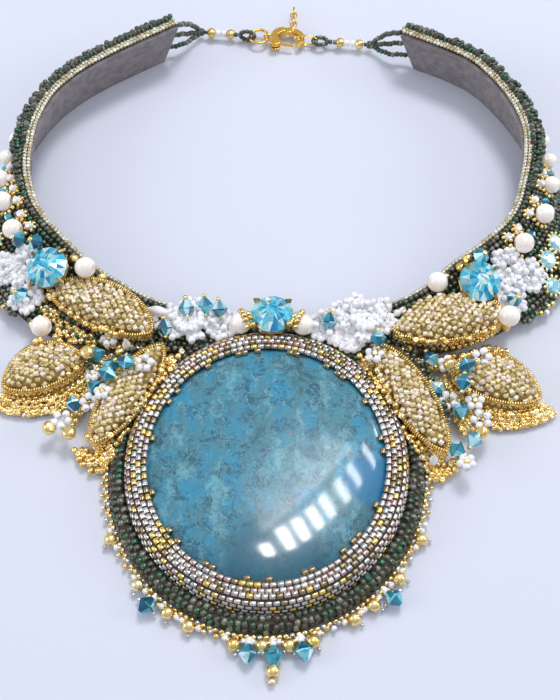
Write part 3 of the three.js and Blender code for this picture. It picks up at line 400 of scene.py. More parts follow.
# %% Bead finishes
def bead_finish(name, tones, metal, rough, coat=0.0, uneven=0.18):
    """Glass or metal beads; tones are the bag's colours, each from its place on up."""
    finish = Finish(name, Coat_Weight=coat, Coat_Roughness=0.08, Metallic=metal)
    tone = finish.add("Attribute", {"attribute_name": "tone"}, {}, out="Fac")
    stops = [(place, ink(*colour)) for place, colour in tones]
    colour = finish.ramp(tone, stops, "CONSTANT")
    grain = finish.noise(0.5, detail=2)
    shade = finish.mix(grain.between(0.3, 0.7) * uneven, colour, ink(30, 26, 22))
    return finish.paint(Base_Color=shade, Roughness=grain * 0.15 + (rough - 0.07))


dark_glass = bead_finish("dark_iris_glass", [
    (0.0, (92, 104, 86)), (0.3, (74, 92, 76)), (0.5, (102, 98, 88)), (0.66, (138, 140, 128)),
    (0.8, (58, 112, 84)), (0.9, (84, 78, 74))], 0.4, 0.32, 0.3)
champagne_glass = bead_finish("champagne_lined_glass", [
    (0.0, (244, 226, 176)), (0.28, (224, 202, 140)), (0.46, (252, 232, 216)), (0.7, (254, 246, 214)),
    (0.86, (206, 184, 120))], 0.15, 0.24, 0.6, 0.08)
bezel_glass = bead_finish("mixed_metal_glass", [
    (0.0, (214, 208, 202)), (0.3, (204, 180, 176)), (0.48, (238, 208, 124)), (0.64, (158, 144, 110)),
    (0.78, (196, 202, 206)), (0.9, (240, 234, 226))], 0.7, 0.24, 0.4)
gold_plate = bead_finish("gold_plated_glass", [
    (0.0, (255, 226, 156)), (0.5, (246, 212, 132)), (0.8, (255, 238, 192))], 0.9, 0.26, 0.0, 0.05)
cream_glass = bead_finish("cream_lined_glass", [
    (0.0, (226, 220, 196)), (0.4, (204, 190, 150)), (0.7, (240, 236, 220))], 0.35, 0.3, 0.3)
white_glass = bead_finish("frosted_white_glass", [
    (0.0, (250, 250, 252)), (0.6, (242, 242, 247)), (0.85, (253, 252, 251))], 0.0, 0.45, 0.15, 0.02)
# The emission is painted light: a faint glow that brightens the white beads' shaded sides.
white_surface = white_glass.node_tree.nodes["Principled BSDF"].inputs
white_surface["Emission Color"].default_value = ink(240, 242, 252)
white_surface["Emission Strength"].default_value = 0.04
clear_glass = bead_finish("silver_lined_clear_glass", [
    (0.0, (226, 228, 232)), (0.5, (206, 204, 206)), (0.8, (244, 246, 250))], 0.6, 0.15, 0.6)
print("bead finishes:", len(bpy.data.materials))

# %% [markdown]
# Crystal facets flash one by one: some mirror the light, some the dark. Real refraction in stones
# this small is lost in a picture and costs much time, so each facet carries its own random share
# between a deep and a light tone, a painted reflection, under a clear coat. A faint glow, painted
# light, stands for the light that a cut stone sends back.

# %% Crystal finishes
def crystal_finish(name, stops, glow, rough=0.06, metal=0.3):
    """Cut glass; stops run from its deep facets to its bright ones."""
    finish = Finish(
        name, Coat_Weight=1.0, Coat_Roughness=0.02, Metallic=metal, Emission_Strength=glow)
    # Each facet's random tone is a painted reflection, and the emission is a painted glow.
    facet = finish.add("Attribute", {"attribute_name": "facet"}, {}, out="Fac")
    colour = finish.ramp(facet, [(place, ink(*tone)) for place, tone in stops])
    veil = finish.noise(1.1, detail=1)
    body = finish.mix(veil.between(0.4, 0.75) * 0.45, colour, ink(*stops[0][1]))
    return finish.paint(Base_Color=body, Emission_Color=body, Roughness=veil * 0.06 + rough)


teal_crystal = crystal_finish("teal_crystal", [
    (0.0, (10, 74, 100)), (0.35, (26, 122, 152)), (0.66, (64, 168, 192)), (0.84, (140, 214, 228)),
    (1.0, (220, 244, 248))], 0.2)
aqua_crystal = crystal_finish("aqua_crystal", [
    (0.0, (12, 116, 168)), (0.25, (44, 182, 220)), (0.55, (104, 214, 234)), (0.74, (142, 168, 146)),
    (0.84, (170, 232, 240)), (1.0, (240, 254, 254))], 0.16)
opal_crystal = crystal_finish("opal_crystal", [
    (0.0, (104, 178, 214)), (0.4, (150, 212, 232)), (0.75, (198, 228, 216)),
    (1.0, (240, 250, 248))], 0.2)
print("finishes so far:", len(bpy.data.materials))

# %% [markdown]
# A `Bead` is a kind of bead: a pattern, a finish and the record's slot. A `Stringing` collects the
# seats of many beads and then makes one joined mesh for each kind, so thousands of beads are only a
# few objects. Sewing each bead as an object of its own would work too, but Blender would be slow.

# %% Bead kinds and stringing
class Bead:
    """A kind of bead: its pattern, its finish and the slot of the record that it is in; the slot is not
    used.
    """

    def __init__(self, name, form, material, slot):
        self.name, self.form, self.material, self.slot = name, form, material, slot


dark_seed = Bead("dark_seeds", seed_form, dark_glass, "dark_beads")
gold_seed = Bead("gold_seeds", seed_form, gold_plate, "gold_beads")
cream_seed = Bead("cream_seeds", seed_form, cream_glass, "champagne_beads")
white_seed = Bead("white_seeds", seed_form, white_glass, "white_beads")
clear_seed = Bead("clear_seeds", seed_form, clear_glass, "white_beads")
white_barrel = Bead("white_barrels", barrel_form, white_glass, "white_beads")
leaf_barrel = Bead("leaf_barrels", barrel_form, champagne_glass, "champagne_beads")
bezel_barrel = Bead("bezel_barrels", barrel_form, bezel_glass, "bezel_beads")
gold_ball = Bead("gold_balls", ball_form, gold_plate, "gold_beads")
teal_bicone = Bead("teal_bicones", bicone_form, teal_crystal, "aqua_crystal")
UP = np.array((0.0, 0.0, 1.0))
TABLE_CLEARANCE = 0.76
added = {}


def unit(v):
    """A direction, or each row of many, made one long."""
    v = np.asarray(v, float)
    return v / np.maximum(np.linalg.norm(v, axis=-1, keepdims=True), 1e-9)


class Stringing:
    """Seats of many beads, made into one joined mesh for each kind."""

    def __init__(self, name):
        self.name, self.lots = name, {}

    def sew(self, bead, at, hole=UP, wide=1.0, long=None, tone=None, spin=None):
        """One bead: its place in mm, the direction of its hole, and its size against the pattern."""
        lot = self.lots.setdefault(bead, [])
        tone = draw.random() if tone is None else tone
        spin = draw.random() * math.pi if spin is None else spin
        above_table = max(at[2], TABLE_CLEARANCE * wide)
        long = wide if long is None else long
        lot.append((at[0], at[1], above_table, *unit(hole), wide, long, tone, spin))

    def make(self, *replaced):
        """One piece for each kind of bead; the first takes the place of the named solids."""
        for bead, lot in self.lots.items():
            piece = joined(f"{self.name}_{bead.name}", bead.form, np.array(lot), bead.material)
            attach(piece, "necklace")
            if replaced:
                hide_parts(*replaced)
                replaced = ()


def joined(name, form, seats, material):
    """One mesh with a copy of the pattern at every seat."""
    at, hole = seats[:, 0:3], seats[:, 3:6]
    wide, long, tone, spin = seats[:, 6:].T
    side = np.where(np.abs(hole[:, 2:3]) < 0.9, UP, np.array((1.0, 0.0, 0.0)))
    x = unit(np.cross(side, hole))
    y = np.cross(hole, x)
    x, y = (x * np.cos(spin)[:, None] + y * np.sin(spin)[:, None],
            y * np.cos(spin)[:, None] - x * np.sin(spin)[:, None])
    turn = np.stack((x, y, hole), axis=2)
    local = form.points[None] * np.stack((wide, wide, long), axis=1)[:, None, :]
    points = np.einsum("nij,nvj->nvi", turn, local) + at[:, None, :]
    count, size = len(seats), len(form.points)
    mesh = bpy.data.meshes.new(name)
    mesh.vertices.add(count * size)
    mesh.vertices.foreach_set("co", (points * MM).astype(np.float32).ravel())
    mesh.loops.add(count * len(form.loops))
    corners = form.loops[None] + size * np.arange(count)[:, None]
    mesh.loops.foreach_set("vertex_index", corners.ravel())
    mesh.polygons.add(count * form.faces)
    starts = form.starts[None] + len(form.loops) * np.arange(count)[:, None]
    mesh.polygons.foreach_set("loop_start", starts.ravel())
    mesh.update(calc_edges=True)
    mesh.polygons.foreach_set("use_smooth", np.full(count * form.faces, form.smooth))
    mesh.attributes.new("tone", "FLOAT", "POINT").data.foreach_set("value", np.repeat(tone, size))
    if not form.smooth:
        flash = draw.random(count * form.faces)
        mesh.attributes.new("facet", "FLOAT", "FACE").data.foreach_set("value", flash)
    mesh.materials.append(material)
    piece = bpy.data.objects.new(name, mesh)
    bpy.context.scene.collection.objects.link(piece)
    added[name] = count * form.triangles
    return piece


print("triangles of a seed, a ball and a cut bead:",
      seed_form.triangles, ball_form.triangles, bicone_form.triangles)

# %% [markdown]
# The stone is a polished oval of blue apatite, domed and bright. A sphere is cut at its middle,
# stretched to the stone's width, length and dome, lifted, and its rim is extruded down to the deck
# and filled. It keeps the solid's sizes, only round where that one has flats.

# %% The stone's form
STONE_RADIUS = 27.8
OVAL = 60.2 / 55.6
DECK = 1.3
STONE_SIDE = 2.6
STONE_DOME = 5.4

deselect()
bpy.ops.mesh.primitive_uv_sphere_add(segments=128, ring_count=64, radius=1.0)
stone = bpy.context.object
stone.name = "stone"
editing(stone, everything=True)
bpy.ops.mesh.bisect(plane_co=(0, 0, 0), plane_no=(0, 0, 1), clear_inner=True)
bpy.ops.mesh.select_all(action="SELECT")
scaled(STONE_RADIUS * MM, STONE_RADIUS * OVAL * MM, STONE_DOME * MM)
bpy.ops.transform.translate(value=(0, 0, (DECK + STONE_SIDE) * MM))
pick(stone, "EDGE", lambda middle, edge: edge.is_boundary)
bpy.ops.mesh.extrude_region_move(TRANSFORM_OT_translate={"value": (0, 0, -STONE_SIDE * MM)})
bpy.ops.mesh.edge_face_add()
only(stone)
bpy.ops.object.shade_smooth_by_angle(angle=math.radians(35))
print("stone faces:", len(stone.data.polygons))

# %% [markdown]
# Apatite is cloudy. Broad clouds run between blue and grey teal, with dark mottles and milky drifts
# in them. Most features run down the stone, so the noise is squeezed that way, and strongly so for
# the fine streaks. Three crack patterns give dark hairlines, pale chipped lines and pale veins, and
# a few specks are reddish. The right edge holds a patch of deeper blue, and over the lower end lies
# a painted dark reflection in dark teal. It is all noise on the stone's own millimetres, with soft
# masks for the two patches. Layers are mixed in one after the other, as glazes would be.

# %% The stone's finish
apatite = Finish("blue_apatite", Coat_Weight=1.0, Coat_Roughness=0.09, IOR=1.5, Specular_IOR_Level=0.3)
here = apatite.place()
drift = apatite.noise(4, detail=3, at=here, out="Color")
bent = apatite.add(
    "VectorMath", {"operation": "MULTIPLY_ADD"}, {0: drift, 1: (5.0, 5.0, 5.0), 2: here})
streaked = apatite.add("VectorMath", {"operation": "MULTIPLY"}, {0: bent, 1: (1.0, 0.45, 1.0)})
broad = apatite.noise(6.5, detail=5, rough=0.62, at=streaked)
fine = apatite.noise(3.6, detail=7, rough=0.72, at=bent)
colour = apatite.ramp(broad, [
    (0.32, ink(52, 102, 116)), (0.45, ink(74, 136, 152)), (0.53, ink(56, 140, 170)),
    (0.64, ink(36, 144, 184))])
small = apatite.noise(1.1, detail=4, rough=0.7, at=streaked)
colour = apatite.mix(fine.between(0.49, 0.57) * 0.7, colour, ink(22, 84, 108))
colour = apatite.mix(small.between(0.54, 0.66) * 0.4, colour, ink(30, 80, 100))
milky = apatite.noise(4.4, detail=7, rough=0.72, at=streaked)
colour = apatite.mix(milky.between(0.52, 0.62) * 0.55, colour, ink(128, 190, 204))
drawn = apatite.add("VectorMath", {"operation": "MULTIPLY"}, {0: bent, 1: (1.0, 0.16, 1.0)})
streaks = apatite.noise(1.6, detail=5, rough=0.65, at=drawn)
colour = apatite.mix(streaks.between(0.58, 0.68) * 0.4, colour, ink(132, 188, 202))
colour = apatite.mix((1 - streaks).between(0.58, 0.68) * 0.45, colour, ink(24, 84, 106))


def crack_lines(cells):
    """Distance from the edges of irregular cells, given in cells to a millimetre."""
    return apatite.add("TexVoronoi", {"feature": "DISTANCE_TO_EDGE"}, {"Vector": bent, "Scale": cells})


splits = crack_lines(0.34)
hairlines = (1 - splits.between(0.0, 0.05)) * milky.between(0.44, 0.56)
colour = apatite.mix(hairlines * 0.4, colour, ink(20, 74, 96))
chips = (1 - crack_lines(0.55).between(0.0, 0.07)) * fine.between(0.42, 0.54)
colour = apatite.mix(chips * 0.3, colour, ink(136, 190, 200))
cracks = crack_lines(0.16)
veins = (1 - cracks.between(0.0, 0.022)) * fine.between(0.46, 0.6)
colour = apatite.mix(veins * 0.4, colour, ink(150, 196, 206))
rust = apatite.noise(2.2, detail=5, rough=0.7, at=streaked).between(0.62, 0.68)
colour = apatite.mix(rust * 0.6, colour, ink(128, 108, 104))
here_x = apatite.add("SeparateXYZ", {}, {0: here}, out="X")
here_y = apatite.add("SeparateXYZ", {}, {0: here}, out="Y")


def patch(x, y, reach):
    """A soft round mask, 1 at x, y and 0 at reach millimetres from it."""
    off = (here_x - x) * (here_x - x) + (here_y - y) * (here_y - y)
    return 1 - off.between(0.0, reach * reach)


ragged = fine * 0.8 + broad * 0.9
blue_patch = (patch(23.6, -5.3, 8.5) * ragged).between(0.25, 0.7)
colour = apatite.mix(blue_patch * 0.85, colour, ink(0, 116, 168))
# Painted reflection: a ragged dark teal patch over the lower end stands for a dark shape mirrored in the
# dome.
dark_reflection_patch = (patch(3, -27, 20) * ragged).between(0.2, 0.8)
colour = apatite.mix(dark_reflection_patch * 0.8, colour, ink(8, 84, 106))
stone.data.materials.append(apatite.paint(Base_Color=colour, Roughness=fine * 0.1 + 0.28))
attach(stone, "necklace")
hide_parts("cabochon")
print("nodes in the stone's finish:", len(apatite.tree.nodes))

# %% [markdown]
# The bezel is peyote weave: six rows of cylinder beads, each row shifted by half a bead, that climb
# the stone's side and draw in over its edge. A seventh row closes it on the stone, and inside that
# lies a broken row of single gold beads. A dark oval ring under them stands for the shadow between
# the beads. It is a torus made taller and stretched, cut flat at the deck.

# %% Bezel
BEZEL_PATH = [(32.2, 1.3), (31.23, 5.48), (29.47, 6.93), (27.0, 7.1), (26.7, 6.3)]
BEZEL_ROWS = [0.8, 2.2, 3.6, 5.0, 6.4, 7.8]
BEADS_ROUND, INNER_ROUND = 118, 106
BEAD_SINK = 0.55
GOLD_TONE = 0.66
BEZEL_CORE = {"radius": 29.75, "wire": 1.6, "height": 3.9, "taller": 1.5}


def along_path(path, distance):
    """Place and outward direction at a distance along a profile of (radius, height) points."""
    for (r0, z0), (r1, z1) in zip(path, path[1:]):
        length = math.hypot(r1 - r0, z1 - z0)
        if distance <= length:
            share = distance / length
            outward = ((z1 - z0) / length, -(r1 - r0) / length)
            return r0 + (r1 - r0) * share, z0 + (z1 - z0) * share, outward
        distance -= length
    raise ValueError("the distance is past the profile's end")


def on_oval(r, z, turn):
    """Point on an oval ring and the direction along it, at a turn in radians."""
    at = np.array((r * math.cos(turn), r * OVAL * math.sin(turn), z))
    return at, unit((-math.sin(turn), OVAL * math.cos(turn), 0.0))


deselect()
core_height = BEZEL_CORE["height"] * MM
bpy.ops.mesh.primitive_torus_add(
    major_radius=BEZEL_CORE["radius"] * MM, minor_radius=BEZEL_CORE["wire"] * MM,
    major_segments=72, minor_segments=12, location=(0, 0, core_height))
bezel_core = bpy.context.object
bezel_core.name = "bezel_core"
bpy.ops.object.transform_apply(location=True)
editing(bezel_core, everything=True)
scaled(1, OVAL, BEZEL_CORE["taller"], about=(0, 0, core_height))
bpy.ops.mesh.bisect(
    plane_co=(0, 0, (DECK + 0.05) * MM), plane_no=(0, 0, 1), clear_inner=True, use_fill=True)
deselect()
# This finish serves as the dark thread under the border and collar beads, and as painted shade on the bezel
# core, where it stands for the shadow between the beads.
thread = Finish("dark_thread", Roughness=0.8)
weave = thread.noise(0.4, detail=3)
dark_thread = thread.paint(Base_Color=thread.mix(weave, ink(74, 60, 42), ink(44, 36, 28)),
                           Normal=thread.bump(weave, 0.1))
bezel_core.data.materials.append(dark_thread)
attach(bezel_core, "necklace")

bezel = Stringing("bezel")
for row, distance in enumerate(BEZEL_ROWS):
    r, z, (away, rise) = along_path(BEZEL_PATH, distance)
    for i in range(BEADS_ROUND):
        turn = 2 * math.pi * (i + 0.5 * (row % 2)) / BEADS_ROUND
        at, along = on_oval(r - BEAD_SINK * away, z - BEAD_SINK * rise, turn)
        bezel.sew(bezel_barrel, at, along, wide=0.92, long=0.87)
for r, z, broken in ((26.95, 6.4, False), (25.8, 6.5, True)):
    for i in range(INNER_ROUND):
        if broken and math.sin(i * 0.9) + math.sin(i * 2.3) <= 0.7:
            continue
        at, along = on_oval(r, z, 2 * math.pi * (i + 0.5 * broken) / INNER_ROUND)
        bezel.sew(bezel_barrel, at, along, wide=0.92, long=0.92, tone=GOLD_TONE if broken else None)
bezel.make("beaded_bezel")
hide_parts("beaded_bezel")
print("bezel beads:", sum(map(len, bezel.lots.values())))

# %% [markdown]
# Round the bezel lie three rows of dark seed beads. The border's solid stays under them as the
# thread, and each row is sewn on its surface. Hand-sewn beads never sit quite even, so every one is
# moved and turned a little.

# %% Border
BORDER_PATH = [(34.4, 1.3), (34.4, 2.68), (33.64, 3.4), (32.4, 3.5)]
BORDER_ROWS = (0.7, 2.05, 3.4)
BORDER_PITCH = 1.55


def dress(name, material):
    """Gives a solid one finish."""
    solids[name].data.materials.clear()
    solids[name].data.materials.append(material)


dress("pendant_border", dark_thread)
border = Stringing("border")
for row, distance in enumerate(BORDER_ROWS):
    r, z, _ = along_path(BORDER_PATH, distance)
    around = round(2 * math.pi * (r + 1.2) / BORDER_PITCH)
    for i in range(around):
        wobble = draw.normal(0, 0.15, 3)
        at, along = on_oval(r, z, 2 * math.pi * (i + 0.5 * (row % 2)) / around)
        border.sew(dark_seed, at + wobble, along + draw.normal(0, 0.4, 3), wide=1.08, long=1.16)
border.make()
print("border beads:", sum(map(len, border.lots.values())))

# %% [markdown]
# Both bands follow one line, the neck edge. It is a smooth curve through fourteen rows from the
# front middle to each back end. Every row has a place for the left and the right edge, in shares of
# the neck opening, a share of the bands' width and a slope in degrees: the bands lie flat in front
# and stand up at the sides and back. `band` gives the place and directions at any row, so a bead
# can be sewn at a row, a distance from the neck edge and a height over the cloth.

# %% The bands' line
BORDER_OUTER = 34.9
NECK_FRONT = BORDER_OUTER * OVAL + 1.6
NECK_HALF_WIDTH, NECK_DEPTH, BAND_WIDTH, END_SLANT = 64.0, 89.5, 20.0, 4.0
LEATHER, GAP, GROUND, EDGE_MARGIN = 1.0, 0.3, 1.9, 0.4
SIGN = {"left": -1, "right": 1}
ROWS = [
    ((0.10, 0.000), (0.10, 0.000), 0.40, 3), ((0.30, 0.008), (0.30, 0.012), 0.55, 4),
    ((0.46, 0.036), (0.46, 0.044), 0.70, 7), ((0.59, 0.078), (0.58, 0.090), 0.86, 12),
    ((0.70, 0.120), (0.68, 0.148), 1.00, 18), ((0.81, 0.188), (0.82, 0.222), 1.02, 25),
    ((0.92, 0.278), (0.915, 0.302), 0.93, 34), ((0.975, 0.386), (0.965, 0.426), 0.83, 45),
    ((0.985, 0.490), (0.985, 0.531), 0.73, 60), ((0.975, 0.596), (0.98, 0.620), 0.67, 71),
    ((0.93, 0.702), (0.94, 0.715), 0.65, 76), ((0.84, 0.790), (0.87, 0.805), 0.65, 77),
    ((0.71, 0.872), (0.765, 0.888), 0.65, 77), ((0.46, 1.000), (0.51, 0.985), 0.65, 77),
]
LAST_ROW = len(ROWS) - 1
edges = {}
for i, (side, sign) in enumerate(SIGN.items()):
    edges[side] = np.array([
        (sign * row[i][0] * NECK_HALF_WIDTH, NECK_FRONT + row[i][1] * NECK_DEPTH, 0) for row in ROWS])


def on_path(points, share):
    """Point of a smooth path through points, at a share of the way by their count."""
    last = len(points) - 1
    place = min(max(share, 0.0), 1.0) * last
    i = min(int(place), last - 1)
    t = place - i
    before = points[i - 1] if i > 0 else 2 * points[0] - points[1]
    after = points[i + 2] if i + 2 <= last else 2 * points[last] - points[last - 1]
    a, b = points[i], points[i + 1]
    slope_a, slope_b = (b - before) / 2, (after - a) / 2
    return ((2 * t ** 3 - 3 * t ** 2 + 1) * a + (t ** 3 - 2 * t ** 2 + t) * slope_a
            + (3 * t ** 2 - 2 * t ** 3) * b + (t ** 3 - t ** 2) * slope_b)


def band(side, row):
    """Neck edge, direction across, direction off the bead face, direction along, and width."""
    share = row / LAST_ROW
    along = unit(on_path(edges[side], share + 1e-4) - on_path(edges[side], share - 1e-4))
    out = np.array((along[1], -along[0], 0.0)) * SIGN[side]
    i = min(int(row), LAST_ROW - 1)
    width = (ROWS[i][2] + (ROWS[i + 1][2] - ROWS[i][2]) * (row - i)) * BAND_WIDTH
    slope = math.radians(ROWS[i][3] + (ROWS[i + 1][3] - ROWS[i][3]) * (row - i))
    across = out * math.cos(slope) - UP * math.sin(slope)
    normal = out * math.sin(slope) + UP * math.cos(slope)
    rise = width * math.sin(slope) + (LEATHER + GAP) * math.cos(slope)
    return on_path(edges[side], share) + UP * rise, across, normal, along, width


def on_band(side, row, reach, height):
    """Place on the band, reach in mm from the neck edge, and its directions."""
    edge, across, normal, along, width = band(side, row)
    tail = max(0.0, row - (LAST_ROW - 1)) * END_SLANT * reach / width
    at = edge + across * reach + normal * (GROUND + height) - along * tail
    return at, along, normal, across


def lengths(points):
    """Length along a line of points, at each of them."""
    return np.concatenate(([0.0], np.cumsum(np.linalg.norm(np.diff(points, axis=0), axis=1))))


def point_at(points, run, distance):
    """Point of a line at a length along it."""
    return np.array([np.interp(distance, run, points[:, k]) for k in range(3)])


def lane(side, reach, height, pitch, first=0.0, last=LAST_ROW, from_outer=False, start=0.0):
    """Seats a pitch apart along a lane; reach is in mm from the neck edge or past the outer edge."""
    def spot(row):
        width = band(side, row)[4]
        return on_band(side, row, width + reach if from_outer else reach, height), width

    fine = np.linspace(first, last, 240)
    run = lengths(np.array([spot(row)[0][0] for row in fine]))
    for distance in np.arange(start * pitch, run[-1], pitch):
        row = float(np.interp(distance, run, fine))
        seat, width = spot(row)
        if from_outer or reach < width - EDGE_MARGIN:
            yield seat


print("band length in mm:", round(sum(1.0 for _ in lane("left", 0, 0, 1.0))))

# %% [markdown]
# The lining is grey suede glued behind the beadwork, and the same leather backs the pendant. Suede
# has a short cloudy nap and fine pores, so its colour and bump come from two sizes of noise. The
# collar solids under the beads get the dark thread.

# %% Suede
suede = Finish("grey_suede", Sheen_Weight=0.25)
nap = suede.noise(2.4, detail=4)
pores = suede.noise(0.28, detail=3)
tint = suede.mix(nap.between(0.35, 0.65), ink(124, 116, 118), ink(152, 144, 146))
grey_suede = suede.paint(
    Base_Color=suede.mix(pores * 0.35, tint, ink(82, 76, 80)), Roughness=nap * 0.1 + 0.82,
    Normal=suede.bump(pores + nap * 0.4, 0.16))
for name in ("lining_left", "lining_right", "pendant_backing"):
    dress(name, grey_suede)
for side in SIGN:
    dress(f"collar_{side}", dark_thread)
print("leather and thread on the solids:", 3 + len(SIGN))

# %% [markdown]
# The bands are sewn full with dark iris seed beads, lane after lane. Their collar solid stays under
# them as the stitched cloth. Towards the back, three more lanes are heaped on the neck side. The
# neck edge is finished with two lanes of tiny pale beads seen end on, and from the side of the neck
# backwards rows of dark picots stand beyond both edges.

# %% Beads of the bands
LANES, LANE_PITCH, LANE_HEIGHT, BEAD_PITCH = 14, 1.42, 0.28, 1.38
HEAPED_LANES = ((0.5, 1.4), (1.6, 1.3), (0.9, 2.3))
PALE_LANES = ((-0.45, -0.5), (-0.7, -1.5))
NECK_PICOTS, OUTER_PICOTS = (0.0, 0.75, 0.15), (0.0, 0.6, 0.1)


def about(direction, amount):
    """A direction turned a little, each time another way."""
    return unit(direction + draw.normal(0, amount, 3))


for side in SIGN:
    cloth = Stringing(f"band_{side}")
    for i in range(LANES):
        seats = lane(side, 0.6 + i * LANE_PITCH, LANE_HEIGHT, BEAD_PITCH, start=0.5 * (i % 2))
        for at, along, _, _ in seats:
            hole = unit(along + 0.45 * draw.normal(0, 1, 3) * np.array((1, 1, 0.6)))
            cloth.sew(dark_seed, at + draw.normal(0, 0.07, 3), hole, wide=0.96, long=1.1)
    for at, along, _, _ in lane(side, -0.1, -0.25, 1.3, first=7.5):
        cloth.sew(dark_seed, at, about(along, 0.3), wide=0.92)
    for i, (reach, height) in enumerate(HEAPED_LANES):
        for at, along, _, _ in lane(side, reach, height, 1.4, first=6.6 + 0.5 * i, start=0.33 * i):
            cloth.sew(dark_seed, at + draw.normal(0, 0.22, 3), about(along, 0.4), wide=0.98, long=1.1)
    for i, (at, along, normal, across) in enumerate(lane(side, -0.75, 0.35, 1.25, first=8.0)):
        at = at - across * NECK_PICOTS[i % 3] + normal * 0.2 * (i % 2)
        cloth.sew(dark_seed, at, unit(along + across * 0.6), wide=0.98)
    for i, (at, along, _, across) in enumerate(lane(side, 0.5, 0.1, 1.3, first=4.6, from_outer=True)):
        cloth.sew(dark_seed, at + across * OUTER_PICOTS[i % 3], about(along, 0.3), wide=0.96)
    cloth.make()
    edging = Stringing(f"edging_{side}")
    for i, (reach, height) in enumerate(PALE_LANES):
        for at, _, _, across in lane(side, reach, height, 1.02, first=1.5, start=0.5 * i):
            edging.sew(cream_seed, at, unit(across + 0.25 * draw.normal(0, 1, 3)), wide=0.7, long=0.8)
    for at, _, _, across in lane(side, 0.35, -1.9, 1.1, first=5.0, from_outer=True):
        edging.sew(cream_seed, at, unit(across + 0.25 * draw.normal(0, 1, 3)), wide=0.68, long=0.8)
    edging.make()
    print(f"beads on the {side} band:", sum(map(len, cloth.lots.values())))

# %% [markdown]
# Pearls run along the front of the bands, larger at the front, and single ones sit by the stones.
# A pearl is a round bead with many facets smoothed over. Its nacre is nearly white with a cream
# cloud, quite smooth under a clear coat, with a faint painted glow that lightens its shaded side.

# %% Pearls
# The emission is painted light: a faint glow that brightens the pearls' shaded sides.
nacre = Finish(
    "pearl_nacre", Coat_Weight=0.6, Coat_Roughness=0.12, Emission_Color=ink(250, 244, 240),
    Emission_Strength=0.1)
cloudy = nacre.noise(2.2, detail=2)
pearl_nacre = nacre.paint(
    Base_Color=nacre.mix(cloudy.between(0.35, 0.7), ink(252, 248, 246), ink(250, 236, 220)),
    Roughness=cloudy * 0.12 + 0.2)
pearl_form = round_bead("pearl", 24, 15, 5.0)
pearl_bead = Bead("pearls", pearl_form, pearl_nacre, "pearl")
PEARL_RADIUS = 2.5
PEARL_SIZES = (1.0, 0.98, 0.86, 0.76, 0.66)
BAND_PEARLS = {"left": [(5.8, 0.34), (6.45, 0.32), (7.1, 0.34), (7.8, 0.36), (8.5, 0.38)],
               "right": [(5.4, 0.28), (6.2, 0.30), (7.0, 0.36), (7.8, 0.38), (8.6, 0.38)]}
pearls = Stringing("necklace")
pearl_names = [name for name in solids if name.startswith("pearl_")]
for name in pearl_names:
    low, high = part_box(name)
    number = name.rsplit("_", 1)[1]
    size = PEARL_SIZES[int(number) - 1] if number.isdigit() else 1.0
    middle = np.array((low + high) / 2) / MM
    pearls.sew(pearl_bead, middle, unit((1, draw.normal(0, 0.4), 0.1)), wide=size)
pearls.make(*pearl_names)
print("pearls:", len(pearl_names))

# %% [markdown]
# Round each band pearl runs a part ring of gold seeds. On its neck side stand two small gold cups
# that each hold a white cylinder bead, and a blue cut bead fills the dip before the next pearl.
# Gold, white and dark seeds line the outer edge there, and gold balls sit by the flowers.

# %% Gold cups and rings on the bands
EDGE_BALLS = {"left": [(4.05, 0.10, 0.9), (4.3, 0.06, 0.8), (3.4, 0.05, 0.8), (3.95, 0.85, 0.8),
                       (4.1, 0.97, 0.8)],
              "right": [(4.0, 0.08, 0.9), (4.25, 0.03, 0.8), (3.5, 0.05, 0.8), (3.9, 0.88, 0.8),
                        (4.1, 0.97, 0.8)]}
PEARL_RING = [math.radians(-30 + 26 * k) - 1.9 for k in range(11)]
CUP_RING = [k * math.pi / 3 for k in range(6)]
CUP_STEPS = (-0.16, 0.17)


def seed_ring(string, at, normal, across, along, radius, turns, wide):
    """Gold seeds round a place, at turns in radians from the direction across."""
    for turn in turns:
        spoke = across * math.cos(turn) + along * math.sin(turn)
        string.sew(gold_seed, at + spoke * radius, unit(np.cross(spoke, normal)), wide=wide)


for side in SIGN:
    trim = Stringing(f"trim_{side}")
    for i, (row, share) in enumerate(BAND_PEARLS[side]):
        width = band(side, row)[4]
        radius = PEARL_RADIUS * PEARL_SIZES[i]
        at, along, normal, across = on_band(side, row, share * width, radius * 0.55)
        seed_ring(trim, at, normal, -across, along, radius + 0.5, PEARL_RING, 0.8)
        for step in CUP_STEPS:
            at, along, normal, across = on_band(side, row + step, share * width - radius - 1.0, 0.9)
            seed_ring(trim, at, normal, across, along, 1.0, CUP_RING, 0.74)
            trim.sew(white_barrel, at + normal * 0.9, normal, wide=1.15, long=0.9)
        at, along, normal, across = on_band(side, row + 0.34, share * width + 0.3, 1.2)
        trim.sew(teal_bicone, at, unit(across + along * 0.4), wide=0.62, long=0.6)
    outer_lane = lane(side, 1.1, 0.3, 1.5, first=4.9, last=9.4, from_outer=True)
    for i, (at, along, _, across) in enumerate(outer_lane):
        kind = (gold_seed, white_seed, gold_seed, gold_seed, dark_seed)[i % 5]
        trim.sew(kind, at + across * (0.0, 0.8, 0.0, 0.5, 0.0)[i % 5], unit(along), wide=0.95)
    for row, share, size in EDGE_BALLS[side]:
        at, along, _, _ = on_band(side, row, share * band(side, row)[4], BALL_RADIUS * size)
        trim.sew(gold_ball, at, about(along, 0.4), wide=size)
    trim.make()
    print(f"beads in the {side} trim:", sum(map(len, trim.lots.values())))

# %% [markdown]
# Each leaf is a domed pad with pointed ends. It lies between a root and a tip, given in shares of
# the wing beside the stone, and tilts to one side. It has its own width on the neck side and on the
# outer side. The leaf's solid stays as the pad, and beads are sewn only where the pad is, because
# neighbours cut into some leaves.

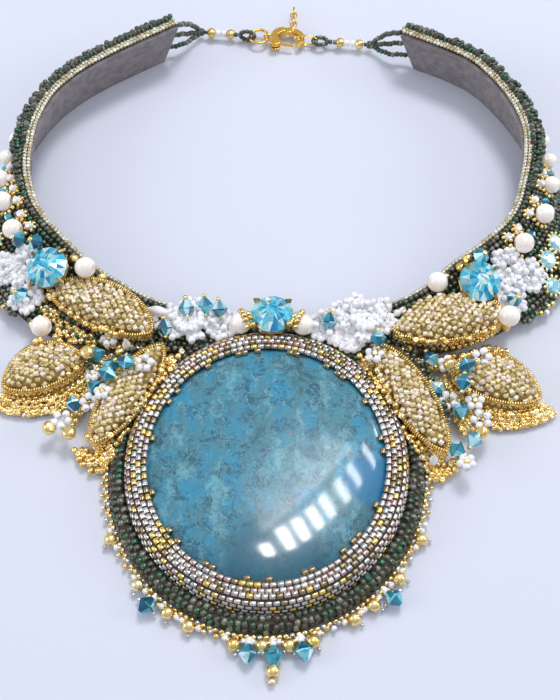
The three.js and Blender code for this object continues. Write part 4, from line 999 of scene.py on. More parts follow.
# %% The leaves' own measures
WING_SPAN, WING_ANGLE = 36.0, math.radians(45)
WING_OUT, WING_UP = BORDER_OUTER * math.sin(WING_ANGLE), BORDER_OUTER * OVAL * math.cos(WING_ANGLE)
LEAF_WIDTH, LEAF_DOME, LEAF_RIM, LEAF_FOOT, PURL_WIRE = 14.0, 2.3, 6.6, 0.7, 1.1
POINTED = 1.35
LEAVES = {
    "upper_left": ((0.08, 0.13), (0.82, 0.455), 0.54, 0.35, (1.0, 1.6), 12, 1.2),
    "outer_left": ((0.50, -0.07), (1.025, -0.27), 0.60, 0.30, (0.0, -1.6), 4, 3.4),
    "lower_left": ((0.01, 0.04), (0.41, -0.66), 0.38, 0.36, (1.4, -1.4), 10, 2.0),
    "upper_right": ((0.09, 0.20), (0.86, 0.34), 0.58, 0.38, (1.0, 1.6), 12, 1.2),
    "outer_right": ((0.467, -0.09), (1.044, -0.253), 0.60, 0.32, (0.0, -1.6), 4, 3.4),
    "lower_right": ((0.006, 0.08), (0.428, -0.656), 0.36, 0.36, (1.4, -1.4), 10, 2.0),
}


def on_wing(side, out, up, z=0.0):
    return np.array((SIGN[side] * (WING_OUT + out * WING_SPAN), WING_UP + up * WING_SPAN, z))


class Leaf:
    """A leaf's own frame: along from root to tip, side towards the neck, and its normal."""

    def __init__(self, name):
        root, tip, neck, outer, lift, roll, self.skirt = LEAVES[name]
        side = name.split("_")[1]
        a, b = (on_wing(side, *end, LEAF_RIM + extra) for end, extra in zip((root, tip), lift))
        self.middle, self.along = (a + b) / 2, unit(b - a)
        self.half = np.linalg.norm(b - a) / 2 - PURL_WIRE - GAP
        self.widths = [part * LEAF_WIDTH - PURL_WIRE - GAP for part in (neck, outer)]
        level = unit((-self.along[1], self.along[0], 0.0)) * SIGN[side]
        flat = np.cross(self.along, level)
        flat = unit(flat * (1 if flat[2] > 0 else -1))
        tilt = math.radians(roll)
        self.side = level * math.cos(tilt) + flat * math.sin(tilt)
        self.normal = flat * math.cos(tilt) - level * math.sin(tilt)

    def rim(self, turn, grow=0.0):
        s = math.sin(turn)
        width = self.widths[0 if s > 0 else 1] + grow
        return math.cos(turn) * (self.half + grow), math.copysign(abs(s) ** POINTED, s) * width

    def at(self, u, v, w):
        return self.middle + self.along * u + self.side * v + self.normal * w

    def reach(self, u, v):
        """How far a point is from the leaf's middle, 1 on the rim, found by halving."""
        a, b = abs(u) / self.half, abs(v) / self.widths[0 if v > 0 else 1]
        low, high = 0.0, 2.0
        for _ in range(22):
            r = (low + high) / 2
            inside = (a / r) ** 2 + (b / r) ** (2 / POINTED) < 1
            low, high = (low, r) if inside else (r, high)
        return high

    def dome(self, u, v):
        return LEAF_DOME * (1 - min(1.0, self.reach(u, v)) ** 3)

    def top(self, u, v, over=0.0):
        """Place on the domed top and the direction off it."""
        step = 0.1
        w = self.dome(u, v)
        slope_u = (self.dome(u + step, v) - self.dome(u - step, v)) / (2 * step)
        slope_v = (self.dome(u, v + step) - self.dome(u, v - step)) / (2 * step)
        off = unit(self.normal - self.along * slope_u - self.side * slope_v)
        return self.at(u, v, w) + off * over, off


forms = {}


def distance_to(name, at):
    """Millimetres from a place to the nearest point of a solid."""
    if name not in forms:
        mesh = solids[name].data
        forms[name] = BVHTree.FromPolygons(
            [v.co for v in mesh.vertices], [p.vertices for p in mesh.polygons])
    return forms[name].find_nearest(Vector(at) * MM)[3] / MM


leaves = {name: Leaf(name) for name in LEAVES}
print("leaf lengths in mm:", {name: round(2 * leaf.half, 1) for name, leaf in leaves.items()})

# %% [markdown]
# Purl is gold wire wound into a fine spring. One turn of it is a torus of a few dozen faces, tilted
# a little as a spring's turns are, and copied round the rim. The top of each pad is sewn full of
# lined champagne beads in slanting rows. Its flanks are walls of gold seeds, five rows deep, which
# flare out over the neighbours on the outer side.

# %% Purl turn and pad finish
deselect()
bpy.ops.mesh.primitive_torus_add(
    major_radius=0.44 * MM, minor_radius=0.19 * MM, major_segments=9, minor_segments=5)
purl_turn = bpy.context.object
purl_turn.name = "purl_turn"
editing(purl_turn, everything=True)
bpy.ops.transform.rotate(value=0.25, orient_axis="X", center_override=(0, 0, 0))
deselect()
purl_form = Pattern(purl_turn, smooth=True)
purl_gold = bead_finish("gold_purl", [
    (0.0, (250, 216, 136)), (0.5, (238, 200, 112)), (0.8, (255, 232, 172))], 0.9, 0.26)
purl_bead = Bead("turns", purl_form, purl_gold, "gold_wire")
pad = Finish("olive_thread", Roughness=0.7, Metallic=0.3)
lint = pad.noise(0.5, detail=3)
olive_thread = pad.paint(
    Base_Color=pad.mix(lint, ink(206, 180, 110), ink(164, 138, 78)), Normal=pad.bump(lint, 0.1))

# %% Beads of the leaves
ROW_TURN = math.radians(40)
LEAF_PITCH, LEAF_ROW_STEP, LEAF_ROWS = 1.28, 1.17, 16
WALL_DROPS, WALL_PITCH = (0.26, 0.42, 0.6, 0.78, 0.95), 0.72
PURL_PITCH = 0.58
for name, leaf in leaves.items():
    dress(f"leaf_{name}", olive_thread)
    field = Stringing(f"leaf_{name}")
    slant = leaf.along * math.cos(ROW_TURN) + leaf.side * math.sin(ROW_TURN)
    for p in range(-LEAF_ROWS, LEAF_ROWS + 1):
        for q in range(-LEAF_ROWS, LEAF_ROWS + 1):
            a, b = p * LEAF_PITCH + LEAF_PITCH / 2 * (q % 2), q * LEAF_ROW_STEP
            u = a * math.cos(ROW_TURN) - b * math.sin(ROW_TURN)
            v = a * math.sin(ROW_TURN) + b * math.cos(ROW_TURN)
            u, v = u + draw.normal(0, 0.13), v + draw.normal(0, 0.13)
            if leaf.reach(u, v) > 1.02:
                continue
            at, off = leaf.top(u, v, 0.2)
            if distance_to(f"leaf_{name}", at) < 1.0:
                hole = unit(np.cross(np.cross(off, slant), off) + draw.normal(0, 0.45, 3))
                field.sew(leaf_barrel, at, hole, wide=0.86, long=0.78 + draw.normal(0, 0.04))
    wall = Stringing(f"wall_{name}")
    for level, drop in enumerate(WALL_DROPS):
        flare = np.interp(drop, (0, 0.45, 0.85, 1), (0.0, 0.1, 0.95, 0.95))
        around = round(2 * (leaf.half + sum(leaf.widths) * 0.6) / WALL_PITCH)
        for i in range(around):
            turn = 2 * math.pi * (i + 0.5 * (level % 2)) / around
            spread = 1.0 if math.sin(turn) < 0 else 0.15
            u, v = leaf.rim(turn, flare * leaf.skirt * spread + 0.1)
            at = leaf.at(u, v, 0)
            at[2] += (LEAF_FOOT - at[2]) * drop
            if distance_to(f"leaf_{name}", at) < 0.9:
                out = unit(leaf.along * u / leaf.half + leaf.side * v / leaf.widths[0])
                at = at + draw.normal(0, 0.08, 3)
                wall.sew(gold_seed, at, about(out + UP * 0.6, 0.4), wide=0.86)
    wall.make()
    field.make()
    coil = Stringing(f"purl_{name}")
    turns = np.linspace(0, 2 * math.pi, 720)
    fine = np.array([leaf.at(*leaf.rim(turn, 0.85), 0.1) for turn in turns])
    run = lengths(fine)
    for distance in np.arange(0.0, run[-1], PURL_PITCH):
        at, ahead = point_at(fine, run, distance), point_at(fine, run, distance + 0.3)
        if distance_to(f"purl_{name}", at) < 0.75:
            coil.sew(purl_bead, at + UP * 0.1, unit(ahead - at), wide=1.12, spin=0.0)
    coil.make(f"purl_{name}")
print("leaf triangles:", sum(count for name, count in added.items() if name.startswith("leaf_")))

# %% [markdown]
# The three cut stones are round crystals with a small flat table above and a point below. Each
# starts as a flat drum. Its top is extruded and drawn in twice, every new ring is turned by half a
# facet, and the faces are split into triangles, which gives the star of kite facets. That split
# leaves them in another order every time, so they are put in order by their places, and each facet
# keeps its tone from run to run. The cups and prongs are the solids, in worn gold.

# %% Round crystals
def crystal(name, sides, radius, crown, pavilion, flat, waist=0.62):
    """A round cut stone about its girdle; waist and flat are the crown's rings, as shares of it."""
    deselect()
    bpy.ops.mesh.primitive_cylinder_add(vertices=sides, radius=radius * MM, depth=0.3 * MM)
    piece = bpy.context.object
    piece.name = name
    editing(piece)
    pick(piece, "FACE", lambda middle, face: face.normal.z > 0.9)
    now = radius
    for share, lift in ((waist, 0.62), (flat, 0.38)):
        bpy.ops.mesh.extrude_region_move(TRANSFORM_OT_translate={"value": (0, 0, crown * lift * MM)})
        target = radius * share
        scaled(target / now, target / now, 1)
        bpy.ops.transform.rotate(
            value=math.pi / sides, orient_axis="Z", center_override=(0, 0, 0))
        now = target
    pick(piece, "FACE", lambda middle, face: face.normal.z < -0.9)
    bpy.ops.mesh.extrude_region_move(TRANSFORM_OT_translate={"value": (0, 0, -pavilion * MM)})
    scaled(0.12, 0.12, 1)
    bpy.ops.mesh.select_all(action="SELECT")
    bpy.ops.mesh.quads_convert_to_tris()
    deselect()
    return Pattern(piece, smooth=False, by_place=True)


RIVOLI_RADIUS, CROWN, PAVILION, CUP_FLOOR = 5.1, 2.0, 2.6, -3.6
rivoli_form = crystal("round_crystal", 16, RIVOLI_RADIUS, CROWN, PAVILION - 0.15, 0.3)
rivoli = Bead("stone", rivoli_form, aqua_crystal, "aqua_crystal")
SIDE_STONES = {"left": (4.5, 0.34), "right": (4.05, 0.36)}
for place in ("center", "left", "right"):
    if place == "center":
        low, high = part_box("rivoli_center")
        at, axis = np.array(((low.x + high.x) / 2, (low.y + high.y) / 2, low.z + PAVILION * MM)) / MM, UP
    else:
        row, share = SIDE_STONES[place]
        at, _, axis, _ = on_band(place, row, share * band(place, row)[4], 2.4 * GAP - CUP_FLOOR)
    cut = Stringing(f"crystal_{place}")
    cut.sew(rivoli, at, axis, spin=0.3)
    cut.make(f"rivoli_{place}")
brass = Finish("antique_gold", Metallic=1.0)
worn = brass.noise(1.2, detail=4)
antique_gold = brass.paint(
    Base_Color=brass.mix(worn, ink(206, 168, 86), ink(110, 96, 68)), Roughness=worn * 0.2 + 0.2)
for place in ("center", "left", "right"):
    dress(f"setting_{place}", antique_gold)

# %% [markdown]
# Everything above the pads and the bezel lies on what is under it. `top_at` drops a ring of rays
# from above and takes the highest thing they meet, as a maker's finger would.

# %% Resting heights
carriers = [name for name in solids if not name.startswith(
    ("flower", "spray", "side_ornament", "clasp", "jump", "bead_", "extension"))]
ground_points, ground_faces = [], []
for name in carriers:
    mesh, first = solids[name].data, len(ground_points)
    ground_points += [v.co[:] for v in mesh.vertices]
    ground_faces += [[first + i for i in face.vertices] for face in mesh.polygons]
ground = BVHTree.FromPolygons(ground_points, ground_faces)


def top_at(x, y, reach=0.0):
    """Height in mm of the highest carrier under a round footprint."""
    best = 0.0
    for i in range(-1, 8):
        r = 0.0 if i < 0 else reach
        spot = Vector((x + r * math.cos(i * math.pi / 4), y + r * math.sin(i * math.pi / 4), 60)) * MM
        hit = ground.ray_cast(spot, Vector((0, 0, -1)))[0]
        if hit is not None:
            best = max(best, hit.z / MM)
    return best


print("top of the bezel beside the stone, in mm:", round(top_at(-29.5, 0.0), 2))

# %% [markdown]
# The gaps between the leaves, and between the lower leaves and the bezel, are sewn full of gold
# seeds that lie on whatever is under them. Each gap is a short outline in shares of the wing, and
# seeds are dropped on a jittered grid inside it, clear of the leaves and the pearls. Four more rows
# of seeds fall like a skirt from the low side of the outer leaves.

# %% Gold between the leaves
GOLD_GAPS = [
    [(0.84, 0.42), (0.92, 0.20), (0.84, 0.02), (0.56, -0.02), (0.32, 0.0), (0.10, 0.06),
     (0.16, 0.16), (0.42, 0.20), (0.68, 0.34)],
    [(0.56, 0.0), (0.52, -0.14), (0.42, -0.22), (0.48, -0.38), (0.54, -0.50), (0.62, -0.44),
     (0.60, -0.26), (0.60, -0.10)],
    [(-0.12, 0.06), (-0.06, -0.10), (0.02, -0.26), (0.10, -0.42), (0.20, -0.56), (0.28, -0.74),
     (0.36, -0.72), (0.30, -0.52), (0.20, -0.32), (0.10, -0.12), (0.0, 0.04)],
    [(0.34, -0.64), (0.30, -0.80), (0.40, -0.82), (0.52, -0.72), (0.54, -0.60), (0.44, -0.62)],
]
GOLD_PITCH = 1.42
CLEAR_OF_LEAF, CLEAR_OF_PEARL = 1.14, 3.2
GOLD_RISE, GOLD_LOWEST = 0.45, 1.4
SKIRT_ROWS, SKIRT_BEADS = ((2.6, 0.5), (3.4, 0.68), (4.2, 0.82), (5.0, 0.9)), 54


def inside(point, outline):
    """True if a flat point lies in a closed outline."""
    odd = False
    for (x0, y0), (x1, y1) in zip(outline, outline[1:] + outline[:1]):
        if (y0 > point[1]) != (y1 > point[1]):
            odd ^= bool(point[0] < (x1 - x0) * (point[1] - y0) / (y1 - y0) + x0)
    return odd


pearl_places = np.array(
    [[sum(corner[k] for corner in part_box(name)) / 2 / MM for k in (0, 1)] for name in pearl_names])
for side in SIGN:
    gold = Stringing(f"gold_{side}")
    own = [leaf for name, leaf in leaves.items() if name.endswith(side)]
    for outline in GOLD_GAPS:
        corners = [tuple(on_wing(side, *corner)[:2]) for corner in outline]
        (x0, y0), (x1, y1) = np.min(corners, axis=0), np.max(corners, axis=0)
        for j, y in enumerate(np.arange(y0, y1, GOLD_PITCH * 0.87)):
            for x in np.arange(x0 + 0.5 * GOLD_PITCH * (j % 2), x1, GOLD_PITCH):
                spot = np.array((x, y, 0.0)) + draw.normal(0, 0.18, 3) * (1, 1, 0)
                if not inside(spot[:2], corners):
                    continue
                flat = [(spot - leaf.middle) * (1, 1, 0) for leaf in own]
                reaches = [leaf.reach(off @ leaf.along, off @ leaf.side) for off, leaf in zip(flat, own)]
                if min(reaches) < CLEAR_OF_LEAF:
                    continue
                if min(np.linalg.norm(pearl_places - spot[:2], axis=1)) < CLEAR_OF_PEARL:
                    continue
                spot[2] = max(top_at(spot[0], spot[1], 0.3) + GOLD_RISE, GOLD_LOWEST)
                hole = unit(draw.normal(0, 0.6, 3) + (0.2, 0.2, 0.6))
                gold.sew(gold_seed, spot, hole, wide=0.98 + 0.18 * draw.random())
    outer = leaves[f"outer_{side}"]
    for row, (grow, drop) in enumerate(SKIRT_ROWS):
        for i in range(SKIRT_BEADS):
            turn = -math.radians(4 + 172 * (i + 0.5 * (row % 2)) / SKIRT_BEADS)
            at = outer.at(*outer.rim(turn, grow), 0)
            at[2] += (LEAF_FOOT - at[2]) * drop
            gold.sew(gold_seed, at + draw.normal(0, 0.2, 3), about(UP, 0.5), wide=0.84)
    gold.make()
    print(f"gold seeds on the {side}:", sum(map(len, gold.lots.values())))

# %% [markdown]
# A flower has five ruffled petals, each a small oval patch of frosted white beads that curls up
# towards its rim. Larger flowers get a second, smaller ring of petals that stands up inside the
# first, and the smallest get a gold middle. The drop bead is a sphere drawn out and narrowed in
# steps towards a point. The opals are cut like the round stones, only smaller and flatter.

# %% Petals and drop
PETAL_PITCH, PETALS = 1.42, 5


def petals(string, at, axis, radius, curl=0.32):
    """A ring of petals of white beads; curl is how far their rims rise."""
    start = draw.random() * math.pi
    side = unit(np.cross(axis, (0.0, 1.0, 0.31)))
    front = np.cross(axis, side)
    for petal in range(PETALS):
        turn = start + 2 * math.pi * petal / PETALS
        out = side * math.cos(turn) + front * math.sin(turn)
        wide = np.cross(axis, out)
        long_half, wide_half = radius * 0.42, radius * 0.36
        for i in range(-6, 7):
            for j in range(-6, 7):
                u, v = (i + 0.5 * (j % 2)) * PETAL_PITCH, j * PETAL_PITCH * 0.9
                if (u / long_half) ** 2 + (v / wide_half) ** 2 > 1.05:
                    continue
                r = u + radius * 0.56
                ruffle = 0.28 * math.sin(3.1 * v + 2.0 * u + petal)
                lift = 0.5 + curl * radius * (max(r, 0) / radius) ** 2 + ruffle
                spot = at + out * r + wide * v + axis * lift
                string.sew(white_seed, spot, about(out, 0.5), wide=1.12, long=1.35)


def flower(string, at, axis, size):
    """One or two rings of petals; a size of 1 is 12 mm across."""
    radius = size * 6.0
    petals(string, at, axis, radius)
    if size > 0.7:
        petals(string, at + axis * 0.9, axis, radius * 0.62, curl=0.7)
    elif size < 0.45:
        string.sew(gold_seed, at + axis * 1.4, axis, wide=0.8)


DROP_RADIUS, DROP_HALF_LENGTH = 1.9, 4.5
deselect()
bpy.ops.mesh.primitive_uv_sphere_add(segments=20, ring_count=14, radius=DROP_RADIUS * MM)
drop = bpy.context.object
drop.name = "drop"
editing(drop, everything=True)
scaled(z=DROP_HALF_LENGTH / DROP_RADIUS)
for height, narrow in ((0.2, 0.86), (1.4, 0.8), (2.6, 0.75), (3.6, 0.8)):
    pick(drop, "VERT", lambda place, vert: place.z > height * MM)
    scaled(narrow, narrow, 1)
deselect()
drop_bead = Bead("drop", Pattern(drop, smooth=True), white_glass, "white_beads")
opal_form = crystal("opal", 10, 2.4, 0.96, 0.9, 0.45, 0.75)
opal = Bead("opals", opal_form, opal_crystal, "opal_crystal")


def sewn(string, kind, at, axis, size, lay=None):
    """One element of a cluster, centred at a place; lay is the direction of its hole."""
    lay = axis if lay is None else unit(lay)
    if kind == "blossom":
        flower(string, at, axis, size)
    elif kind == "ball":
        string.sew(gold_ball, at, about(lay, 0.4), wide=size)
    elif kind == "bicone":
        string.sew(teal_bicone, at, lay, wide=size)
        string.sew(gold_seed, at + lay * 2.35 * size, lay, wide=0.8)
        string.sew(gold_seed, at - lay * 2.25 * size, lay, wide=0.7)
    elif kind == "drop":
        string.sew(drop_bead, at, lay, wide=size)
    elif kind == "stone":
        string.sew(opal, at, axis, wide=size)


RISE = {
    "blossom": lambda size: GAP,
    "ball": lambda size: BALL_RADIUS * size + GAP,
    "bicone": lambda size: 2 * size + GAP,
    "drop": lambda size: DROP_RADIUS + GAP,
    "stone": lambda size: 1.06 * size + GAP,
}

# %% [markdown]
# Above the stone, two heaps of flowers lie on the pendant's edge and on the leaves' roots. Places
# are shares of the pendant's half width and half length. Crystals stand up among the flowers and
# lean back, and a short double strip of gold seeds leads down to the middle stone on each side.

# %% Flowers above the stone
CENTER_FLOWERS = {
    "left": [("blossom", 0.573, 0.955, 1.08), ("blossom", 0.344, 0.945, 0.75), ("drop", 0.79, 1.01, 0.7),
             ("blossom", 0.76, 0.94, 0.55), ("bicone", 0.585, 1.02, 1.0), ("bicone", 0.461, 1.04, 1.0),
             ("bicone", 0.361, 1.02, 1.0), ("bicone", 0.72, 0.87, 1.0)],
    "right": [("blossom", 0.645, 1.0, 1.15), ("blossom", 0.387, 0.945, 0.92),
              ("blossom", 0.527, 0.87, 0.66), ("bicone", 0.384, 0.95, 1.0), ("ball", 0.596, 1.03, 0.8),
              ("ball", 0.41, 1.04, 0.7),
              ("blossom", 0.80, 1.03, 0.62), ("blossom", 0.52, 1.04, 0.8)],
}
CENTER_STRIPS = {"left": ((-6.4, 38.2), (-4.4, 32.7)), "right": ((6.2, 37.6), (4.2, 33.0))}
CENTER_LAY = {"bicone": (0.1, 0.75, 0.65), "drop": (1.0, 0.25, 0.0)}
STANDING = 1.6
for side, elements in CENTER_FLOWERS.items():
    heap = Stringing(f"flower_center_{side}")
    for kind, out, up, size in elements:
        x, y = SIGN[side] * out * BORDER_OUTER, up * BORDER_OUTER * OVAL
        z = top_at(x, y, 2.0 * size) + RISE[kind](size) + (STANDING if kind == "bicone" else 0.0)
        lay = np.array(CENTER_LAY[kind]) * (SIGN[side], 1, 1) if kind in CENTER_LAY else None
        sewn(heap, kind, np.array((x, y, z)), UP, size, lay)
    start, end = CENTER_STRIPS[side]
    for column in (0.0, 1.3 * SIGN[side]):
        for share in np.linspace(0, 1, 6):
            x = start[0] + (end[0] - start[0]) * share + column
            y = start[1] + (end[1] - start[1]) * share
            heap.sew(gold_seed, (x, y, top_at(x, y, 0.3) + 0.55), unit((0.4, -1, 0.2)), wide=1.0)
    heap.make(f"flower_center_{side}")
    print(f"white beads in the {side} heap:", len(heap.lots[white_seed]))

# %% [markdown]
# On each band a group of flowers surrounds the cut stone, and pale opal crystals in rings of gold
# seeds, with gold balls, sit on the outer edge. Places are a row and a share of the band's width.

# %% Flowers and opals on the bands
BAND_FLOWERS = {
    "left": [("blossom", 5.15, 0.50, 0.80), ("blossom", 5.42, 0.74, 0.72), ("blossom", 4.60, 0.76, 0.85),
             ("bicone", 5.2, 0.22, 1.0), ("bicone", 4.65, 0.80, 1.0), ("bicone", 5.55, 0.36, 1.0)],
    "right": [("blossom", 4.85, 0.36, 0.80), ("blossom", 5.10, 0.62, 0.75), ("blossom", 4.55, 0.70, 0.80),
              ("bicone", 4.45, 0.10, 1.0), ("bicone", 4.55, 0.74, 1.0)],
}
EDGE_STONES = {
    "left": [("stone", 5.98, 0.70, 1.0), ("stone", 6.3, 0.66, 0.8), ("ball", 5.72, 0.86, 1.0),
             ("ball", 6.15, 0.88, 0.8)],
    "right": [("stone", 5.66, 0.68, 1.0), ("stone", 6.0, 0.66, 0.9), ("stone", 5.42, 0.94, 0.9),
              ("ball", 5.75, 0.92, 1.0)],
}
OPAL_RING = [k * math.pi / 6 for k in range(12)]
for group, clusters in (("flower", BAND_FLOWERS), ("side_ornament", EDGE_STONES)):
    for side, elements in clusters.items():
        heap = Stringing(f"{group}_{side}")
        for kind, row, share, size in elements:
            at, along, normal, across = on_band(side, row, share * band(side, row)[4], RISE[kind](size))
            if kind == "bicone":
                at = at + normal * 0.8
            sewn(heap, kind, at, normal, size)
            if kind == "stone":
                seed_ring(heap, at, normal, across, along, 2.75 * size, OPAL_RING, 0.7)
        heap.make(f"{group}_{side}")
        print(f"{group}_{side}:", sum(map(len, heap.lots.values())), "beads")

# %% [markdown]
# Between the leaves runs a branch: a rope of dark seeds wound round a thread, with lying crystals,
# gold balls and tiny florets to both sides. Places are shares of the wing, and a crystal's last
# number is the turn of its hole in degrees.

# %% Sprays
SPRAY_RISE, THREAD = 4.2, 1.1
SPRAYS = {
    "left": (
        [[(-0.05, 0.09), (0.10, 0.08), (0.22, 0.04), (0.30, -0.01), (0.36, -0.12)],
         [(0.50, -0.07), (0.44, -0.16), (0.39, -0.24), (0.44, -0.34)]],
        [("bicone", 0.445, 0.0, 1.0, 60), ("bicone", 0.35, -0.085, 1.0, 20),
         ("bicone", 0.225, -0.155, 1.0, 5), ("bicone", 0.43, -0.25, 1.0, 40),
         ("bicone", 0.335, -0.235, 1.0, 20), ("bicone", 0.55, -0.37, 1.0, 70),
         ("blossom", 0.375, 0.11, 0.42, 0), ("blossom", 0.45, -0.16, 0.38, 0),
         ("blossom", 0.11, -0.15, 0.46, 0), ("blossom", 0.45, -0.37, 0.46, 0),
         ("blossom", 0.36, -0.34, 0.36, 0), ("blossom", 0.61, -0.50, 0.50, 0),
         ("drop", 0.26, 0.07, 0.55, 0), ("ball", 0.684, -0.547, 1.1, 0),
         ("ball", 0.556, -0.579, 1.1, 0), ("ball", 0.30, 0.02, 0.8, 0),
         ("ball", 0.485, -0.06, 1.1, 0)]),
    "right": (
        [[(0.034, 0.118), (0.14, 0.09), (0.214, 0.062), (0.324, -0.085), (0.381, -0.246),
          (0.446, -0.459)]],
        [("bicone", 0.354, 0.03, 1.0, 120), ("bicone", 0.389, -0.19, 1.0, 140),
         ("bicone", 0.56, -0.10, 1.0, 20), ("bicone", 0.534, -0.212, 1.0, 80),
         ("bicone", 0.527, -0.343, 1.0, 100), ("bicone", 0.60, -0.55, 1.0, 60),
         ("bicone", 0.486, -0.62, 1.0, 150), ("bicone", 0.0, 0.07, 1.0, 90),
         ("blossom", 0.455, -0.02, 0.42, 0), ("blossom", 0.666, -0.015, 0.46, 0),
         ("blossom", 0.45, -0.29, 0.46, 0), ("blossom", 0.617, -0.29, 0.44, 0),
         ("blossom", -0.02, -0.02, 0.44, 0), ("blossom", 0.65, -0.42, 0.5, 0),
         ("blossom", 0.541, -0.72, 0.4, 0), ("drop", 0.342, -0.70, 0.5, 0),
         ("ball", 0.65, -0.495, 1.1, 0), ("ball", 0.455, -0.08, 1.0, 0)]),
}
ROPE_TURN = 2 * math.pi / 3.3


def rope(string, bead, points, pitch=0.72, girth=0.75, wide=0.92):
    """Beads wound round a smooth path, a little over three to a turn."""
    fine = np.array([on_path(points, share) for share in np.linspace(0, 1, 200)])
    run = lengths(fine)
    for i, distance in enumerate(np.arange(0.0, run[-1], pitch)):
        at = point_at(fine, run, distance)
        along = unit(point_at(fine, run, distance + 0.4) - at)
        side = unit(np.cross(along, UP))
        up = np.cross(side, along)
        spoke = side * math.cos(i * ROPE_TURN) + up * math.sin(i * ROPE_TURN)
        string.sew(bead, at + spoke * girth, along, wide=wide)


for side, (branches, elements) in SPRAYS.items():
    spray = Stringing(f"spray_{side}")
    for branch in branches:
        stem = []
        for out, up in branch:
            at = on_wing(side, out, up)
            stem.append(at + UP * max(SPRAY_RISE, top_at(at[0], at[1], THREAD) + THREAD))
        rope(spray, dark_seed, np.array(stem))
    for kind, out, up, size, turn in elements:
        at = on_wing(side, out, up)
        at[2] = max(top_at(at[0], at[1], size * 4 / 3) + RISE[kind](size), SPRAY_RISE + THREAD / 2)
        lay = None
        if kind == "bicone":
            lay = (SIGN[side] * math.cos(math.radians(turn)), math.sin(math.radians(turn)), 0.15)
        sewn(spray, kind, at, UP, size, lay)
    spray.make(f"spray_{side}")
print("triangles so far:", sum(added.values()))

# %% [markdown]
# Below the pendant hangs the fringe: a double row of small gold, clear and white beads on the edge,
# then gold balls on white seeds, and single crystals between them. The crystal right of the middle
# carries one more gold ball. Angles are measured from the lowest point to the right, in degrees,
# and the second number is how far a bead hangs out, in mm.

# %% Fringe
EDGING_WIRE = 1.1
EDGING_STEPS, EDGING_PITCH = 46, 2.15
EDGING_RADIUS = BORDER_OUTER + GAP + EDGING_WIRE / 2
FRINGE_BALLS = [(-63, 1.3), (-45.1, 1.25), (-31.7, 1.25), (-23.6, 1.3), (-8.3, 2.0), (0.7, 1.6),
                (9.2, 1.9), (16.7, 2.1), (31.5, 1.4), (39.2, 1.4), (51.1, 1.4), (66.2, 1.3)]
FRINGE_BICONES = [(-38.2, 2.9), (-3.4, 3.6), (4.2, 3.9), (13.2, 3.9), (45.1, 3.3)]


def on_edge(degrees, reach, z):
    """Place past the pendant's edge, and the direction out."""
    turn = math.radians(degrees)
    out = unit((math.sin(turn), -math.cos(turn) / OVAL, 0.0))
    at = np.array((EDGING_RADIUS * math.sin(turn), -EDGING_RADIUS * OVAL * math.cos(turn), z))
    return at + out * reach, out


fringe = Stringing("fringe")
for i in range(-EDGING_STEPS, EDGING_STEPS + 1):
    degrees = i * EDGING_PITCH
    for step, (reach, z) in enumerate(((-0.1, 1.5), (1.05 if i % 2 else 0.4, 1.3))):
        at, out = on_edge(degrees + 0.8 * step, reach, z)
        kind = gold_seed
        if (i * 7 + step) % 5 == 0:
            kind = clear_seed
        elif step and i % 11 == 0:
            kind = white_seed
        fringe.sew(kind, at, about(out, 0.4), wide=0.8)
for degrees, reach in FRINGE_BALLS:
    at, out = on_edge(degrees, reach, 1.6)
    fringe.sew(gold_ball, at, about(np.cross(out, UP), 0.3))
    for turn in (-3.0, 3.0):
        spot, _ = on_edge(degrees + turn, 0.9, 1.2)
        fringe.sew(white_seed, spot, out, wide=0.95)
    spot, _ = on_edge(degrees + 1.2, reach + 1.8, 0.9)
    fringe.sew(clear_seed, spot, out, wide=0.6)
for degrees, hang in FRINGE_BICONES:
    at, out = on_edge(degrees, hang, 2.1)
    fringe.sew(teal_bicone, at, out, wide=1.0)
    for reach in (0.5, 1.3):
        spot, _ = on_edge(degrees, reach, 1.6)
        fringe.sew(white_seed, spot, out, wide=0.95)
    for turn in (-3.2, 3.2):
        spot, _ = on_edge(degrees + turn, 3.0, 1.2)
        fringe.sew(clear_seed, spot, out, wide=0.7)
at, out = on_edge(3.8, 6.9, 1.6)
fringe.sew(gold_ball, at, out)
fringe.sew(gold_seed, on_edge(3.4, 8.9, 1.1)[0], out, wide=1.1)
fringe.make("pendant_fringe")
print("beads in the fringe:", sum(map(len, fringe.lots.values())))

# %% [markdown]
# The bands close behind the neck. From each end three short strands of dark seeds meet in a knot,
# then come gold, white and gold beads and a small bead loop, which lies flat on the right and
# stands on the left. All of it lies on one line, turned a little, with its own frame: x along it
# from the middle, y across and z up.

# %% Strands and bead links
CLOSURE_AT = np.array((0.4, NECK_FRONT + NECK_DEPTH + 7.4, 0.0))
CLOSURE_TURN = math.radians(-4.5)
CLASP_RISE, KNOT, KNOT_RADIUS = 2.2, 24.25, 1.105
STRAND_SHARES, STRAND_LOWEST = (0.12, 0.42, 0.78), 0.9
KNOT_TONE = 0.35
LINK_PITCH, LOOP_BEADS = 2.775, 12


def on_closure(x, y=0.0, z=CLASP_RISE):
    """Place in the closure's own frame."""
    c, s = math.cos(CLOSURE_TURN), math.sin(CLOSURE_TURN)
    return CLOSURE_AT + np.array((x * c - y * s, x * s + y * c, z))


